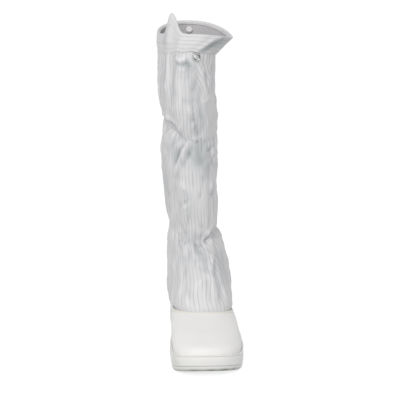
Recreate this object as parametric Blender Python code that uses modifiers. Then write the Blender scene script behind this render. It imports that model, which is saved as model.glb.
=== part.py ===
"""Cleanroom boot, left foot: moulded sole, coated-leather shoe part and a slack fabric shaft.

Frame: metres, +Z up, toe towards -Y, outer (lateral) side towards +X.
The origin lies on the ground under the middle of the heel.
Every soft wall is cut from one surface, worked out from the table of upper sections.
"""
import math
from collections import namedtuple

import bmesh
import bpy
from mathutils import Matrix, Vector

MM = 0.001
OBJECT_NAME = "cleanroom_boot"

# Driving sizes in millimetres
SOLE_LENGTH = 256.0
HEEL_CENTRE = 34.0
GAP = 0.3
LEATHER_WALL = 1.8
FABRIC_WALL = 1.1
BAND_WALL = 1.9
INSOLE_THICKNESS = 3.0
INSOLE_TUCK = 9.8
INSOLE_UNDERCUT = 0.4
INSOLE_CHAMFER = 0.8
GROOVE_WIDTH = 3.4
GROOVE_DEPTH = 2.4
GROOVE_POINT = 7.0
GROOVE_EDGE = 6.5
CUTTER_OVERSHOOT = 3.0
STUD_DIAMETER = 11.0
STUD_HEIGHT = 2.4
SNAP_DIAMETER = 9.0
SNAP_HEIGHT = 4.2
SNAP_STANDOFF = 0.8
FASTENER_FLANGE = 1.0
HEM_THICKNESS = 1.3

# Mesh sizes
RING_POINTS = 44
TURN_STEPS = 20
DOME_STEPS = 5
SMOOTH_ANGLE = 40.0
PROBE_LEVEL = 0.06
PROBE_ANGLE = 0.03

# Plan of the sole at its widest: distance from the back of the heel, reach to the inner and outer side
PlanRow = namedtuple("PlanRow", "along inner outer")
PLAN = (
    PlanRow(0, 31.0, 31.0),
    PlanRow(30, 32.0, 31.5),
    PlanRow(60, 31.0, 33.0),
    PlanRow(95, 29.5, 38.0),
    PlanRow(125, 31.5, 44.5),
    PlanRow(160, 36.0, 51.0),
    PlanRow(182, 37.6, 52.2),
    PlanRow(205, 37.4, 50.5),
    PlanRow(228, 37.0, 47.0),
    PlanRow(256, 36.0, 41.0),
)
TOE_ROUND = 42.0
HEEL_ROUND = 33.0
FOOT_CORNER = 2.6
SHAFT_CORNER = 2.25

# Heights of the sole: underside, line between outsole and midsole, foot bed, top of the lip
SoleRow = namedtuple("SoleRow", "along ground parting bed rim")
SOLE = (
    SoleRow(0, 0.8, 6.8, 16.0, 33.5),
    SoleRow(9, 0.0, 6.5, 16.0, 33.2),
    SoleRow(66, 0.0, 6.5, 16.0, 31.5),
    SoleRow(79, 4.6, 9.8, 15.2, 28.8),
    SoleRow(100, 4.0, 9.0, 13.4, 26.2),
    SoleRow(126, 0.0, 6.2, 10.4, 23.4),
    SoleRow(160, 0.0, 6.0, 9.4, 21.4),
    SoleRow(207, 0.0, 6.0, 9.4, 20.6),
    SoleRow(226, 0.7, 6.6, 10.0, 21.2),
    SoleRow(241, 3.8, 9.8, 13.0, 23.6),
    SoleRow(256, 7.9, 14.0, 16.6, 27.1),
)

# Side of the midsole: how far it lies inside the plan, and its height from parting (0) to rim (1)
WallRow = namedtuple("WallRow", "step tuck climb")
MIDSOLE_WALL = (
    WallRow("foot", 1.3, 0.0),
    WallRow("skirt", 0.3, 0.1),
    WallRow("belly", 0.0, 0.42),
    WallRow("shoulder", 0.5, 0.74),
    WallRow("groove", 1.7, 0.8),
    WallRow("lip_low", 0.5, 0.86),
    WallRow("lip", 0.2, 0.94),
    WallRow("lip_top", 1.4, 1.0),
)

# Side of the outsole, from ground (0) to parting (1)
OUTSOLE_WALL = (
    WallRow("tread_edge", 3.4, 0.0),
    WallRow("tread_round", 1.5, 0.22),
    WallRow("band", 0.7, 0.62),
    WallRow("band_top", 1.3, 1.0),
)

# Sections of the upper from the sole to the brim, in millimetres.
# front and back are distances from the back of the heel; the four z values are heights at the front,
# back, inner and outer side; inner and outer are reaches of the oval shaft. foot is the share of the
# foot's own plan, less its tuck; low is the share of the sole's heights, climb from bed (0) to rim (1);
# nose and stern are the lengths over which the ring rounds off at its two ends.
Section = namedtuple(
    "Section", "name front back z_front z_back z_inner z_outer inner outer foot tuck low climb nose stern"
)
UPPER = (
    Section("feather", 249.0, 7.0, 17, 17, 12, 12, 33, 44, 1.0, 6.8, 1.0, 0.03, 40, 30),
    Section("cup", 252.3, 3.4, 22, 25, 18, 18, 34, 46, 1.0, 3.6, 1.0, 0.5, 41, 31),
    Section("rim", 253.4, 2.6, 27, 33, 24, 24, 36, 47, 1.0, 2.6, 1.0, 1.0, 42, 32),
    Section("side", 252.2, 1.6, 34, 43, 31, 31, 38, 44, 0.97, 2.0, 1.0, 1.55, 44, 33),
    Section("crown", 245.5, 0.8, 41.5, 52, 38, 38, 39.5, 37, 0.86, 2.8, 0.9, 2.05, 48, 34),
    Section("toe_top", 228.0, 0.4, 49.5, 60, 45, 44, 39.5, 37, 0.76, 3.0, 0.6, 2.5, 60, 40),
    Section("seam", 180.0, 0.2, 59.5, 67.5, 53, 50, 38.5, 38.5, 0.7, 1.5, 0.1, 3.2, 64, 50),
    Section("instep", 170.0, -2.0, 73, 83, 67, 65, 43.5, 45, 0.35, 0.0, 0.0, 3.4, 74, 62),
    Section("pouf", 160.0, -3.2, 91, 103, 88, 86, 39.1, 44.2, 0.08, 0.0, 0.0, 3.4, 80, 78),
    Section("pouf_high", 149.0, -1.0, 109, 121, 110, 107, 37.2, 40, 0.0, 0.0, 0.0, 3.4, 75, 75),
    Section("ankle_fall", 139.5, 4.0, 123, 137, 129, 125, 35.4, 36, 0.0, 0.0, 0.0, 3.4, 68, 67),
    Section("ankle_low", 131.5, 9.0, 131, 147, 143, 137, 33.6, 29.6, 0.0, 0.0, 0.0, 3.4, 61, 61),
    Section("ankle_tie", 127.0, 12.0, 136.5, 153, 150.5, 144, 31.3, 23.2, 0.0, 0.0, 0.0, 3.4, 57, 57),
    Section("ankle_high", 131.5, 9.0, 143, 160, 157, 151, 33.8, 26.4, 0.0, 0.0, 0.0, 3.4, 61, 61),
    Section("calf_low", 139.0, 3.0, 164, 178, 172, 169, 37.2, 28.6, 0.0, 0.0, 0.0, 3.4, 68, 68),
    Section("calf", 142.5, 0.0, 197, 205, 198, 197, 39.4, 27.7, 0.0, 0.0, 0.0, 3.4, 71, 71),
    Section("calf_high", 142.5, 0.0, 228, 235, 231, 227, 42.4, 26.8, 0.0, 0.0, 0.0, 3.4, 71, 71),
    Section("tie_fall", 139.5, 3.0, 248, 261, 262, 246, 42.2, 26.6, 0.0, 0.0, 0.0, 3.4, 68, 68),
    Section("tie_low", 135.0, 6.5, 255, 271, 278, 254, 40.6, 26, 0.0, 0.0, 0.0, 3.4, 64, 64),
    Section("calf_tie", 131.5, 9.0, 260.5, 277, 288, 259.5, 36.8, 24.7, 0.0, 0.0, 0.0, 3.4, 61, 61),
    Section("tie_high", 136.0, 6.0, 266, 284, 294, 265, 41.4, 26.6, 0.0, 0.0, 0.0, 3.4, 65, 65),
    Section("knee_low", 142.5, 0.0, 282, 300, 305, 281, 46, 27.4, 0.0, 0.0, 0.0, 3.4, 71, 71),
    Section("knee", 145.5, -3.5, 318, 331, 330, 317, 47.5, 24.4, 0.0, 0.0, 0.0, 3.4, 74, 74),
    Section("under_band", 144.5, -4.5, 350, 364, 357, 350, 47, 24, 0.0, 0.0, 0.0, 3.4, 74, 74),
    Section("band_foot", 144.5, -5.0, 369.5, 382, 371, 368, 46.8, 25.6, 0.0, 0.0, 0.0, 3.4, 74, 74),
    Section("band", 144.0, -6.0, 381, 393, 383, 378.5, 46.6, 34.5, 0.0, 0.0, 0.0, 3.4, 75, 75),
    Section("brim", 143.0, -7.5, 392.5, 405.5, 393.5, 388.5, 46, 46.6, 0.0, 0.0, 0.0, 3.4, 75, 75),
)
LEVEL = {row.name: index for index, row in enumerate(UPPER)}

# Rings of each soft wall: level on the upper, and depth of its outer face under that surface
RingRow = namedtuple("RingRow", "level depth")
LEATHER_LEVELS = (0, 0.5, 1, 1.5, 2, 2.5, 3, 3.5, 4, 4.5, 5, 5.3, 5.55, 5.8, 6)
LAP = LEATHER_WALL + GAP
FABRIC_LAP = (
    RingRow(LEVEL["seam"] - 0.45, LAP),
    RingRow(LEVEL["seam"] - 0.2, LAP + 0.1),
    RingRow(LEVEL["seam"], LAP + 0.3),
    RingRow(LEVEL["seam"] + 0.14, 1.7),
    RingRow(LEVEL["seam"] + 0.34, 0.5),
    RingRow(LEVEL["seam"] + 0.62, 0.0),
)
SHAFT_TOP = LEVEL["brim"] - 0.14

# Levels that the shaft's rings and the folded band share, so that their faces run side by side
BAND_LEVELS = (
    LEVEL["band_foot"] + 0.15, LEVEL["band"] - 0.45, LEVEL["band"], LEVEL["band"] + 0.45, SHAFT_TOP,
)
BAND_BULGE = (0.0, 0.35, 0.4, 0.3, 0.1)
CREST = SHAFT_TOP + 0.03
BRIM_INNER = LEVEL["brim"] - 0.02
HEM_FOOT = LEVEL["band"] + 0.6

# Levels of the cup in the midsole that the upper stands in, from its top to its floor
CUP_LEVELS = (LEVEL["rim"] - 0.04, LEVEL["cup"] + 0.5, LEVEL["cup"], LEVEL["cup"] - 0.5, LEVEL["feather"])

# Cross grooves of the tread: distance of each from the back of the heel
HEEL_GROOVES = (16.0, 28.0, 40.0, 52.0)
FOREFOOT_GROOVES = (134.0, 146.0, 158.0, 170.0, 182.0, 194.0, 206.0, 218.0)

# Fasteners: height level and angle round the upper (0 at the front, 180 at the back)
STUD_LEVEL = LEVEL["under_band"] + 0.76
STUD_ANGLE = 10.0
SNAP_LEVEL = LEVEL["band"]
SNAP_ANGLE = 178.0

# Colours (linear), roughness and metallic value of each finish
FINISHES = {
    "outsole": ((0.56, 0.57, 0.53), 0.6, 0.0),
    "midsole": ((0.77, 0.77, 0.73), 0.5, 0.0),
    "insole": ((0.7, 0.7, 0.66), 0.9, 0.0),
    "foot_upper": ((0.8, 0.79, 0.77), 0.42, 0.0),
    "shaft": ((0.72, 0.73, 0.74), 0.8, 0.0),
    "cuff": ((0.74, 0.74, 0.75), 0.8, 0.0),
    "press_stud": ((0.42, 0.43, 0.42), 0.28, 1.0),
    "inner_snap": ((0.8, 0.79, 0.78), 0.35, 0.0),
}


def clear_scene():
    """Empty the scene that the script starts in."""
    for existing in list(bpy.data.objects):
        bpy.data.objects.remove(existing, do_unlink=True)


def slopes(xs, ys):
    """Slope at each row that keeps the curve through the rows free of overshoot."""
    steps = [(ys[i + 1] - ys[i]) / (xs[i + 1] - xs[i]) for i in range(len(xs) - 1)]
    found = [steps[0]]
    for before, after in zip(steps, steps[1:]):
        found.append(0.0 if before * after <= 0 else 2 * before * after / (before + after))
    found.append(steps[-1])
    return found


class Curve:
    """Smooth curve through the rows of a table, for one of its columns."""

    def __init__(self, xs, ys):
        self.xs = xs
        self.ys = ys
        self.slopes = slopes(xs, ys)

    def at(self, x):
        x = min(max(x, self.xs[0]), self.xs[-1])
        i = 0
        while i < len(self.xs) - 2 and x > self.xs[i + 1]:
            i += 1
        span = self.xs[i + 1] - self.xs[i]
        t = (x - self.xs[i]) / span
        rise = (2 * t**3 - 3 * t**2 + 1) * self.ys[i] + (3 * t**2 - 2 * t**3) * self.ys[i + 1]
        lean = (t**3 - 2 * t**2 + t) * self.slopes[i] + (t**3 - t**2) * self.slopes[i + 1]
        return rise + lean * span


def table_curves(rows, key):
    """One curve for every numeric column of a table, read along the key column or the row number."""
    xs = [getattr(row, key) if key else index for index, row in enumerate(rows)]
    columns = [name for name in rows[0]._fields if name not in (key, "name")]
    return {name: Curve(xs, [float(getattr(row, name)) for row in rows]) for name in columns}


PLAN_AT = table_curves(PLAN, "along")
SOLE_AT = table_curves(SOLE, "along")
UPPER_AT = table_curves(UPPER, None)


def place(along, x, z):
    """Point in the part's frame from shoemaker's measures in millimetres."""
    return Vector((x * MM, (HEEL_CENTRE - along) * MM, z * MM))


def rounding(distance, depth, corner):
    """Share of the full width at a distance from a rounded end."""
    t = min(max(distance / depth, 0.0), 1.0)
    return max(1.0 - (1.0 - t) ** corner, 0.0) ** (1.0 / corner)


def plan_point(angle, front, back, inner, outer, foot, tuck, nose, stern):
    """Distance from the heel's back and sideways reach of a ring at an angle from its front."""
    along = front + (back - front) * (1.0 - math.cos(angle)) / 2.0
    inner = foot * (PLAN_AT["inner"].at(along) - tuck) + (1.0 - foot) * inner
    outer = foot * (PLAN_AT["outer"].at(along) - tuck) + (1.0 - foot) * outer
    corner = foot * FOOT_CORNER + (1.0 - foot) * SHAFT_CORNER
    width = rounding(front - along, nose, corner) * rounding(along - back, stern, corner)
    side = 0.0 if abs(math.sin(angle)) < 1e-9 else math.copysign(1.0, math.sin(angle))
    x = (outer - inner) / 2.0 + side * width * (outer + inner) / 2.0
    return along, x


def upper_point(level, angle):
    """Point of the upper's outer surface."""
    row = {name: curve.at(level) for name, curve in UPPER_AT.items()}
    along, x = plan_point(
        angle, row["front"], row["back"], row["inner"], row["outer"],
        row["foot"], row["tuck"], row["nose"], row["stern"],
    )
    mean = (row["z_front"] + row["z_back"] + row["z_inner"] + row["z_outer"]) / 4.0
    fore = (row["z_front"] - row["z_back"]) / 2.0
    across = (row["z_outer"] - row["z_inner"]) / 2.0
    saddle = (row["z_front"] + row["z_back"] - row["z_inner"] - row["z_outer"]) / 4.0
    free = mean + fore * math.cos(angle) + across * math.sin(angle) + saddle * math.cos(2 * angle)
    bed = SOLE_AT["bed"].at(along)
    on_sole = bed + (SOLE_AT["rim"].at(along) - bed) * row["climb"]
    return place(along, x, row["low"] * on_sole + (1.0 - row["low"]) * free)


def upper_normal(level, angle):
    """Outward direction of the upper's surface."""
    low = max(level - PROBE_LEVEL, 0.0)
    high = min(level + PROBE_LEVEL, len(UPPER) - 1.0)
    around = upper_point(level, angle + PROBE_ANGLE) - upper_point(level, angle - PROBE_ANGLE)
    upwards = upper_point(high, angle) - upper_point(low, angle)
    return around.cross(upwards).normalized()


def ring_angles():
    return [2 * math.pi * k / RING_POINTS for k in range(RING_POINTS)]


def upper_ring(level, depth=0.0):
    """Ring of points at a level, a given depth under the upper's surface."""
    points = []
    for angle in ring_angles():
        point = upper_point(level, angle)
        if depth:
            point = point - upper_normal(level, angle) * depth * MM
        points.append(point)
    return points


def sole_ring(tuck, height):
    """Ring of the sole's plan, tucked inwards, at a height given for each distance from the heel."""
    points = []
    for angle in ring_angles():
        along, x = plan_point(
            angle, SOLE_LENGTH - tuck, tuck, 0.0, 0.0, 1.0, tuck, TOE_ROUND - tuck, HEEL_ROUND - tuck,
        )
        points.append(place(along, x, height(along)))
    return points


def between(low, high, climb, shift=0.0):
    """Height function between two columns of the sole's table."""
    def height(along):
        start = SOLE_AT[low].at(along)
        return start + (SOLE_AT[high].at(along) - start) * climb + shift
    return height


def make_material(name):
    colour, roughness, metallic = FINISHES[name]
    material = bpy.data.materials.new(name)
    material.use_nodes = True
    shader = material.node_tree.nodes["Principled BSDF"]
    shader.inputs["Base Color"].default_value = (*colour, 1.0)
    shader.inputs["Roughness"].default_value = roughness
    shader.inputs["Metallic"].default_value = metallic
    return material


def make_collection(name):
    collection = bpy.data.collections.new(name)
    bpy.context.scene.collection.children.link(collection)
    return collection


def link_piece(name, mesh, collection):
    """Object for one sub-part, with its own finish and smooth shading."""
    piece = bpy.data.objects.new(name, mesh)
    mesh.materials.append(make_material(name))
    mesh.shade_smooth()
    mesh.set_sharp_from_angle(angle=math.radians(SMOOTH_ANGLE))
    collection.objects.link(piece)
    return piece


def skin(bm, rings, closed):
    """Join rings, listed so that the faces look outwards, with bands of four-sided faces."""
    rows = [[bm.verts.new(point) for point in ring] for ring in rings]
    pairs = list(zip(rows, rows[1:]))
    if closed:
        pairs.append((rows[-1], rows[0]))
    for lower, higher in pairs:
        for k in range(RING_POINTS):
            n = (k + 1) % RING_POINTS
            bm.faces.new((lower[k], lower[n], higher[n], higher[k]))
    return rows


def close_end(bm, row, downwards):
    """Close a ring with strips that run straight across the foot."""
    half = RING_POINTS // 2
    for k in range(half):
        strip = [row[k], row[k + 1]]
        if k + 1 < half:
            strip.append(row[RING_POINTS - k - 1])
        if k > 0:
            strip.append(row[RING_POINTS - k])
        if downwards:
            strip.reverse()
        bm.faces.new(strip)


def mesh_from(bm, name):
    mesh = bpy.data.meshes.new(name)
    bm.to_mesh(mesh)
    bm.free()
    return mesh


def solid_from_rings(name, rings, collection):
    """Closed solid whose rings run from the underside round to the top."""
    bm = bmesh.new()
    rows = skin(bm, rings, closed=False)
    close_end(bm, rows[0], downwards=True)
    close_end(bm, rows[-1], downwards=False)
    return link_piece(name, mesh_from(bm, name), collection)


def wall_from_rows(name, rows, thickness, collection):
    """Hollow wall: its outer face up through the rows, then its inner face back down."""
    rings = [upper_ring(row.level, row.depth) for row in rows]
    rings += [upper_ring(row.level, row.depth + thickness) for row in rows[::-1]]
    bm = bmesh.new()
    skin(bm, rings, closed=True)
    return link_piece(name, mesh_from(bm, name), collection)


def chevron_cutter(along, collection):
    """Bent bar that cuts one cross groove of the tread, its point towards the toe."""
    inner = -PLAN_AT["inner"].at(along) + GROOVE_EDGE
    outer = PLAN_AT["outer"].at(along) - GROOVE_EDGE
    low = SOLE_AT["ground"].at(along) - CUTTER_OVERSHOOT
    high = SOLE_AT["ground"].at(along) + GROOVE_DEPTH
    bm = bmesh.new()
    corners = []
    for shift in (0.5, -0.5):
        edge = along + shift * GROOVE_WIDTH
        line = [(edge - GROOVE_POINT, inner), (edge, (inner + outer) / 2.0), (edge - GROOVE_POINT, outer)]
        corners.append(line)
    outline = corners[0] + corners[1][::-1]
    bottom = bm.faces.new([bm.verts.new(place(a, x, low)) for a, x in outline])
    raised = bmesh.ops.extrude_face_region(bm, geom=[bottom])
    tops = [item for item in raised["geom"] if isinstance(item, bmesh.types.BMVert)]
    bmesh.ops.translate(bm, verts=tops, vec=(0, 0, (high - low) * MM))
    bmesh.ops.recalc_face_normals(bm, faces=bm.faces)
    cutter = bpy.data.objects.new(f"groove_{along:.0f}", mesh_from(bm, "groove"))
    cutter.hide_render = True
    cutter.display_type = "WIRE"
    collection.objects.link(cutter)
    return cutter


def make_outsole(parts, cutters):
    """Tread with its heel, arch, toe spring and chevron lugs."""
    rings = []
    for row in OUTSOLE_WALL:
        shift = -GAP / 2.0 if row.climb == 1.0 else 0.0
        rings.append(sole_ring(row.tuck, between("ground", "parting", row.climb, shift)))
    piece = solid_from_rings("outsole", rings, parts)
    for along in HEEL_GROOVES + FOREFOOT_GROOVES:
        cutter = chevron_cutter(along, cutters)
        cut = piece.modifiers.new(cutter.name, "BOOLEAN")
        cut.operation = "DIFFERENCE"
        cut.solver = "EXACT"
        cut.object = cutter
    return piece


def make_midsole(parts):
    """Cup with a bellied side, a groove and a rounded lip, which the upper stands in."""
    rings = []
    for row in MIDSOLE_WALL:
        shift = GAP / 2.0 if row.climb == 0.0 else 0.0
        rings.append(sole_ring(row.tuck, between("parting", "rim", row.climb, shift)))
    for level in CUP_LEVELS:
        rings.append(upper_ring(level, -GAP))
    floor = []
    for point in rings[-1]:
        along = HEEL_CENTRE - point.y / MM
        floor.append(Vector((point.x, point.y, SOLE_AT["bed"].at(along) * MM)))
    rings.append(floor)
    return solid_from_rings("midsole", rings, parts)


def make_insole(parts):
    """Foam board that lies on the foot bed."""
    top = GAP + INSOLE_THICKNESS
    rings = [
        sole_ring(INSOLE_TUCK + INSOLE_UNDERCUT, between("bed", "rim", 0.0, GAP)),
        sole_ring(INSOLE_TUCK, between("bed", "rim", 0.0, top - INSOLE_CHAMFER)),
        sole_ring(INSOLE_TUCK + INSOLE_CHAMFER, between("bed", "rim", 0.0, top)),
    ]
    return solid_from_rings("insole", rings, parts)


def make_foot_upper(parts):
    """Coated-leather shoe part, open above at the seam and below where the sole closes it."""
    rows = [RingRow(level, 0.0) for level in LEATHER_LEVELS]
    return wall_from_rows("foot_upper", rows, LEATHER_WALL, parts)


def make_shaft(parts):
    """Fabric tube with the two drawn-in elastics and the pouches between them."""
    free = list(range(LEVEL["instep"], LEVEL["band"])) + list(BAND_LEVELS)
    rows = list(FABRIC_LAP) + [RingRow(level, 0.0) for level in free]
    return wall_from_rows("shaft", rows, FABRIC_WALL, parts)


def make_cuff(parts):
    """Folded band that straddles the top edge of the shaft."""
    outside = [
        RingRow(level, -GAP - BAND_WALL - bulge) for level, bulge in zip(BAND_LEVELS, BAND_BULGE)
    ]
    inside = FABRIC_WALL + GAP
    fold = [
        RingRow(LEVEL["brim"], -GAP),
        RingRow(BRIM_INNER, inside),
        RingRow(SHAFT_TOP, inside + HEM_THICKNESS),
        RingRow(HEM_FOOT, inside + HEM_THICKNESS),
        RingRow(HEM_FOOT, inside),
        RingRow(CREST, inside),
        RingRow(CREST, -GAP),
    ]
    lining = [RingRow(level, -GAP) for level in BAND_LEVELS[::-1]]
    bm = bmesh.new()
    skin(bm, [upper_ring(row.level, row.depth) for row in outside + fold + lining], closed=True)
    bmesh.ops.recalc_face_normals(bm, faces=bm.faces)
    return link_piece("cuff", mesh_from(bm, "cuff"), parts)


def turned(name, profile, level, angle, inwards, depth, collection):
    """Turned fastener seated on the upper's surface, its axis square to the fabric."""
    mesh = bpy.data.meshes.new(name)
    corners = [(radius * MM, 0.0, height * MM) for radius, height in profile]
    edges = [(i, i + 1) for i in range(len(profile) - 1)]
    mesh.from_pydata(corners, edges, [])
    piece = link_piece(name, mesh, collection)
    screw = piece.modifiers.new("turn", "SCREW")
    screw.axis = "Z"
    screw.steps = TURN_STEPS
    screw.render_steps = TURN_STEPS
    screw.use_merge_vertices = True
    screw.merge_threshold = 0.00001
    direction = upper_normal(level, math.radians(angle)) * (-1.0 if inwards else 1.0)
    seat = upper_point(level, math.radians(angle)) + direction * depth * MM
    piece.matrix_world = Matrix.Translation(seat) @ direction.to_track_quat("Z", "Y").to_matrix().to_4x4()
    return piece


def dome_profile(radius, height):
    """Profile from the top of a dome down its side to its flat back."""
    profile = []
    rise = height - FASTENER_FLANGE
    for k in range(DOME_STEPS + 1):
        turn = math.pi / 2 * k / DOME_STEPS
        profile.append((radius * math.sin(turn), FASTENER_FLANGE + rise * math.cos(turn)))
    profile.append((radius, 0.0))
    profile.append((0.0, 0.0))
    return profile


def make_fasteners(parts):
    """Metal stud under the front of the band, and the white cap inside the back wall."""
    stud = dome_profile(STUD_DIAMETER / 2.0, STUD_HEIGHT)
    turned("press_stud", stud, STUD_LEVEL, STUD_ANGLE, False, GAP, parts)
    snap = dome_profile(SNAP_DIAMETER / 2.0, SNAP_HEIGHT)
    turned("inner_snap", snap, SNAP_LEVEL, SNAP_ANGLE, True, FABRIC_WALL + SNAP_STANDOFF, parts)


def main():
    clear_scene()
    parts = make_collection(OBJECT_NAME)
    cutters = make_collection("cutters")
    make_outsole(parts, cutters)
    make_midsole(parts)
    make_insole(parts)
    make_foot_upper(parts)
    make_shaft(parts)
    make_cuff(parts)
    make_fasteners(parts)


main()
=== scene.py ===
"""Dresses the cleanroom boot: striped cloth shaft and band, coated leather foot, moulded sole, fasteners.

Frame as in the part: metres, +Z up, toe towards -Y, outer side towards +X.
Tables are in millimetres; "along" is the distance from the back of the heel.
"level" is the height on the upper, as the number of a section in its table, with fractions between.
"turn" is the place on the cloth in degrees: 0 at the front seam, 90 outer side, 180 back, -90 inner side.
"""

import math
from collections import namedtuple

import bmesh
import bpy
import numpy as np
from mathutils import Matrix, Vector


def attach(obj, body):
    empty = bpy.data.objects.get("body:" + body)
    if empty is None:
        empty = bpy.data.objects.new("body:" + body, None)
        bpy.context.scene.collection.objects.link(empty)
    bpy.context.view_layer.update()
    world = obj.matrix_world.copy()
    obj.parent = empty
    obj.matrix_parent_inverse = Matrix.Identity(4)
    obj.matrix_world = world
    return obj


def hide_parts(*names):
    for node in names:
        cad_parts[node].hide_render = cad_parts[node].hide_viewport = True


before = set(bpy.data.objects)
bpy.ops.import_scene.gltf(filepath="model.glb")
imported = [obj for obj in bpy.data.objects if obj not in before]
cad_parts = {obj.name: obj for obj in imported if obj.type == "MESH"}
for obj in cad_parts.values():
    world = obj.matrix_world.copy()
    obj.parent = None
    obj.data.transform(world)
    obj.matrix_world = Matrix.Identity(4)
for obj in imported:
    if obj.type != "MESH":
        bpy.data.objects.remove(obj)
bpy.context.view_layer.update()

MM = 0.001

# Sizes that the part names too
SOLE_LENGTH = 256.0
HEEL_CENTRE = 34.0
GAP = 0.3
LEATHER_WALL = 1.8
CLOTH_WALL = 0.8
BAND_WALL = 1.9
INSOLE_THICKNESS = 3.0
INSOLE_TUCK = 9.8
TOE_ROUND = 42.0
HEEL_ROUND = 33.0
FOOT_CORNER = 2.6
SHAFT_CORNER = 2.25
GROOVE_WIDTH = 3.4
GROOVE_DEPTH = 2.4
GROOVE_POINT = 7.0
GROOVE_EDGE = 6.5
GROOVE_PITCH = 12
GROOVES = (*range(16, 53, GROOVE_PITCH), *range(134, 219, GROOVE_PITCH))

# Antistatic cloth: carbon yarns 5 mm apart, which gives 80 round the mouth's girth as cut
STRIPE_PITCH = 5.0
STRIPES_ROUND = 80

# Mesh sizes: points round a piece, and the height of the cloth's rows
CLOTH_SHARES = 240
CLOTH_ROW = 2.0
LEATHER_POINTS = 180
SOLE_POINTS = 176

# Outline of the sole: its reach to both sides of the middle line
PlanRow = namedtuple("PlanRow", "along inner outer")
PLAN = (
    PlanRow(0, 31.0, 31.0),
    PlanRow(30, 32.0, 31.5),
    PlanRow(60, 31.0, 33.0),
    PlanRow(95, 29.5, 38.0),
    PlanRow(125, 31.5, 44.5),
    PlanRow(160, 36.0, 51.0),
    PlanRow(182, 37.6, 52.2),
    PlanRow(205, 37.4, 50.5),
    PlanRow(228, 37.0, 47.0),
    PlanRow(256, 36.0, 41.0),
)

# Heights of the sole
SoleRow = namedtuple("SoleRow", "along ground parting bed rim")
SOLE = (
    SoleRow(0, 0.8, 6.8, 16.0, 33.5),
    SoleRow(9, 0.0, 6.5, 16.0, 33.2),
    SoleRow(66, 0.0, 6.5, 16.0, 31.5),
    SoleRow(79, 4.6, 9.8, 15.2, 28.8),
    SoleRow(100, 4.0, 9.0, 13.4, 26.2),
    SoleRow(126, 0.0, 6.2, 10.4, 23.4),
    SoleRow(160, 0.0, 6.0, 9.4, 21.4),
    SoleRow(207, 0.0, 6.0, 9.4, 20.6),
    SoleRow(226, 0.7, 6.6, 10.0, 21.2),
    SoleRow(241, 3.8, 9.8, 13.0, 23.6),
    SoleRow(256, 7.9, 14.0, 16.6, 27.1),
)

# Side of the midsole and of the outsole: how far inside the plan, and the share of the height
WallRow = namedtuple("WallRow", "step tuck climb")
MIDSOLE_WALL = (
    WallRow("foot", 0.9, 0.0),
    WallRow("foot_edge", 0.35, 0.03),
    WallRow("skirt", 0.2, 0.1),
    WallRow("belly", 0.0, 0.42),
    WallRow("shoulder", 0.35, 0.7),
    WallRow("groove_edge", 0.6, 0.76),
    WallRow("groove", 1.05, 0.79),
    WallRow("groove_top", 0.95, 0.82),
    WallRow("lip_low", 0.6, 0.86),
    WallRow("lip", 0.2, 0.92),
    WallRow("lip_high", 0.5, 0.97),
    WallRow("lip_top", 1.5, 1.0),
)
OUTSOLE_WALL = (
    WallRow("tread_edge", 3.2, 0.0),
    WallRow("tread_round", 1.9, 0.1),
    WallRow("band_low", 1.0, 0.34),
    WallRow("band", 0.7, 0.62),
    WallRow("band_high", 0.7, 0.9),
    WallRow("band_top", 1.0, 1.0),
)
WALL_STEPS = 3

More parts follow.
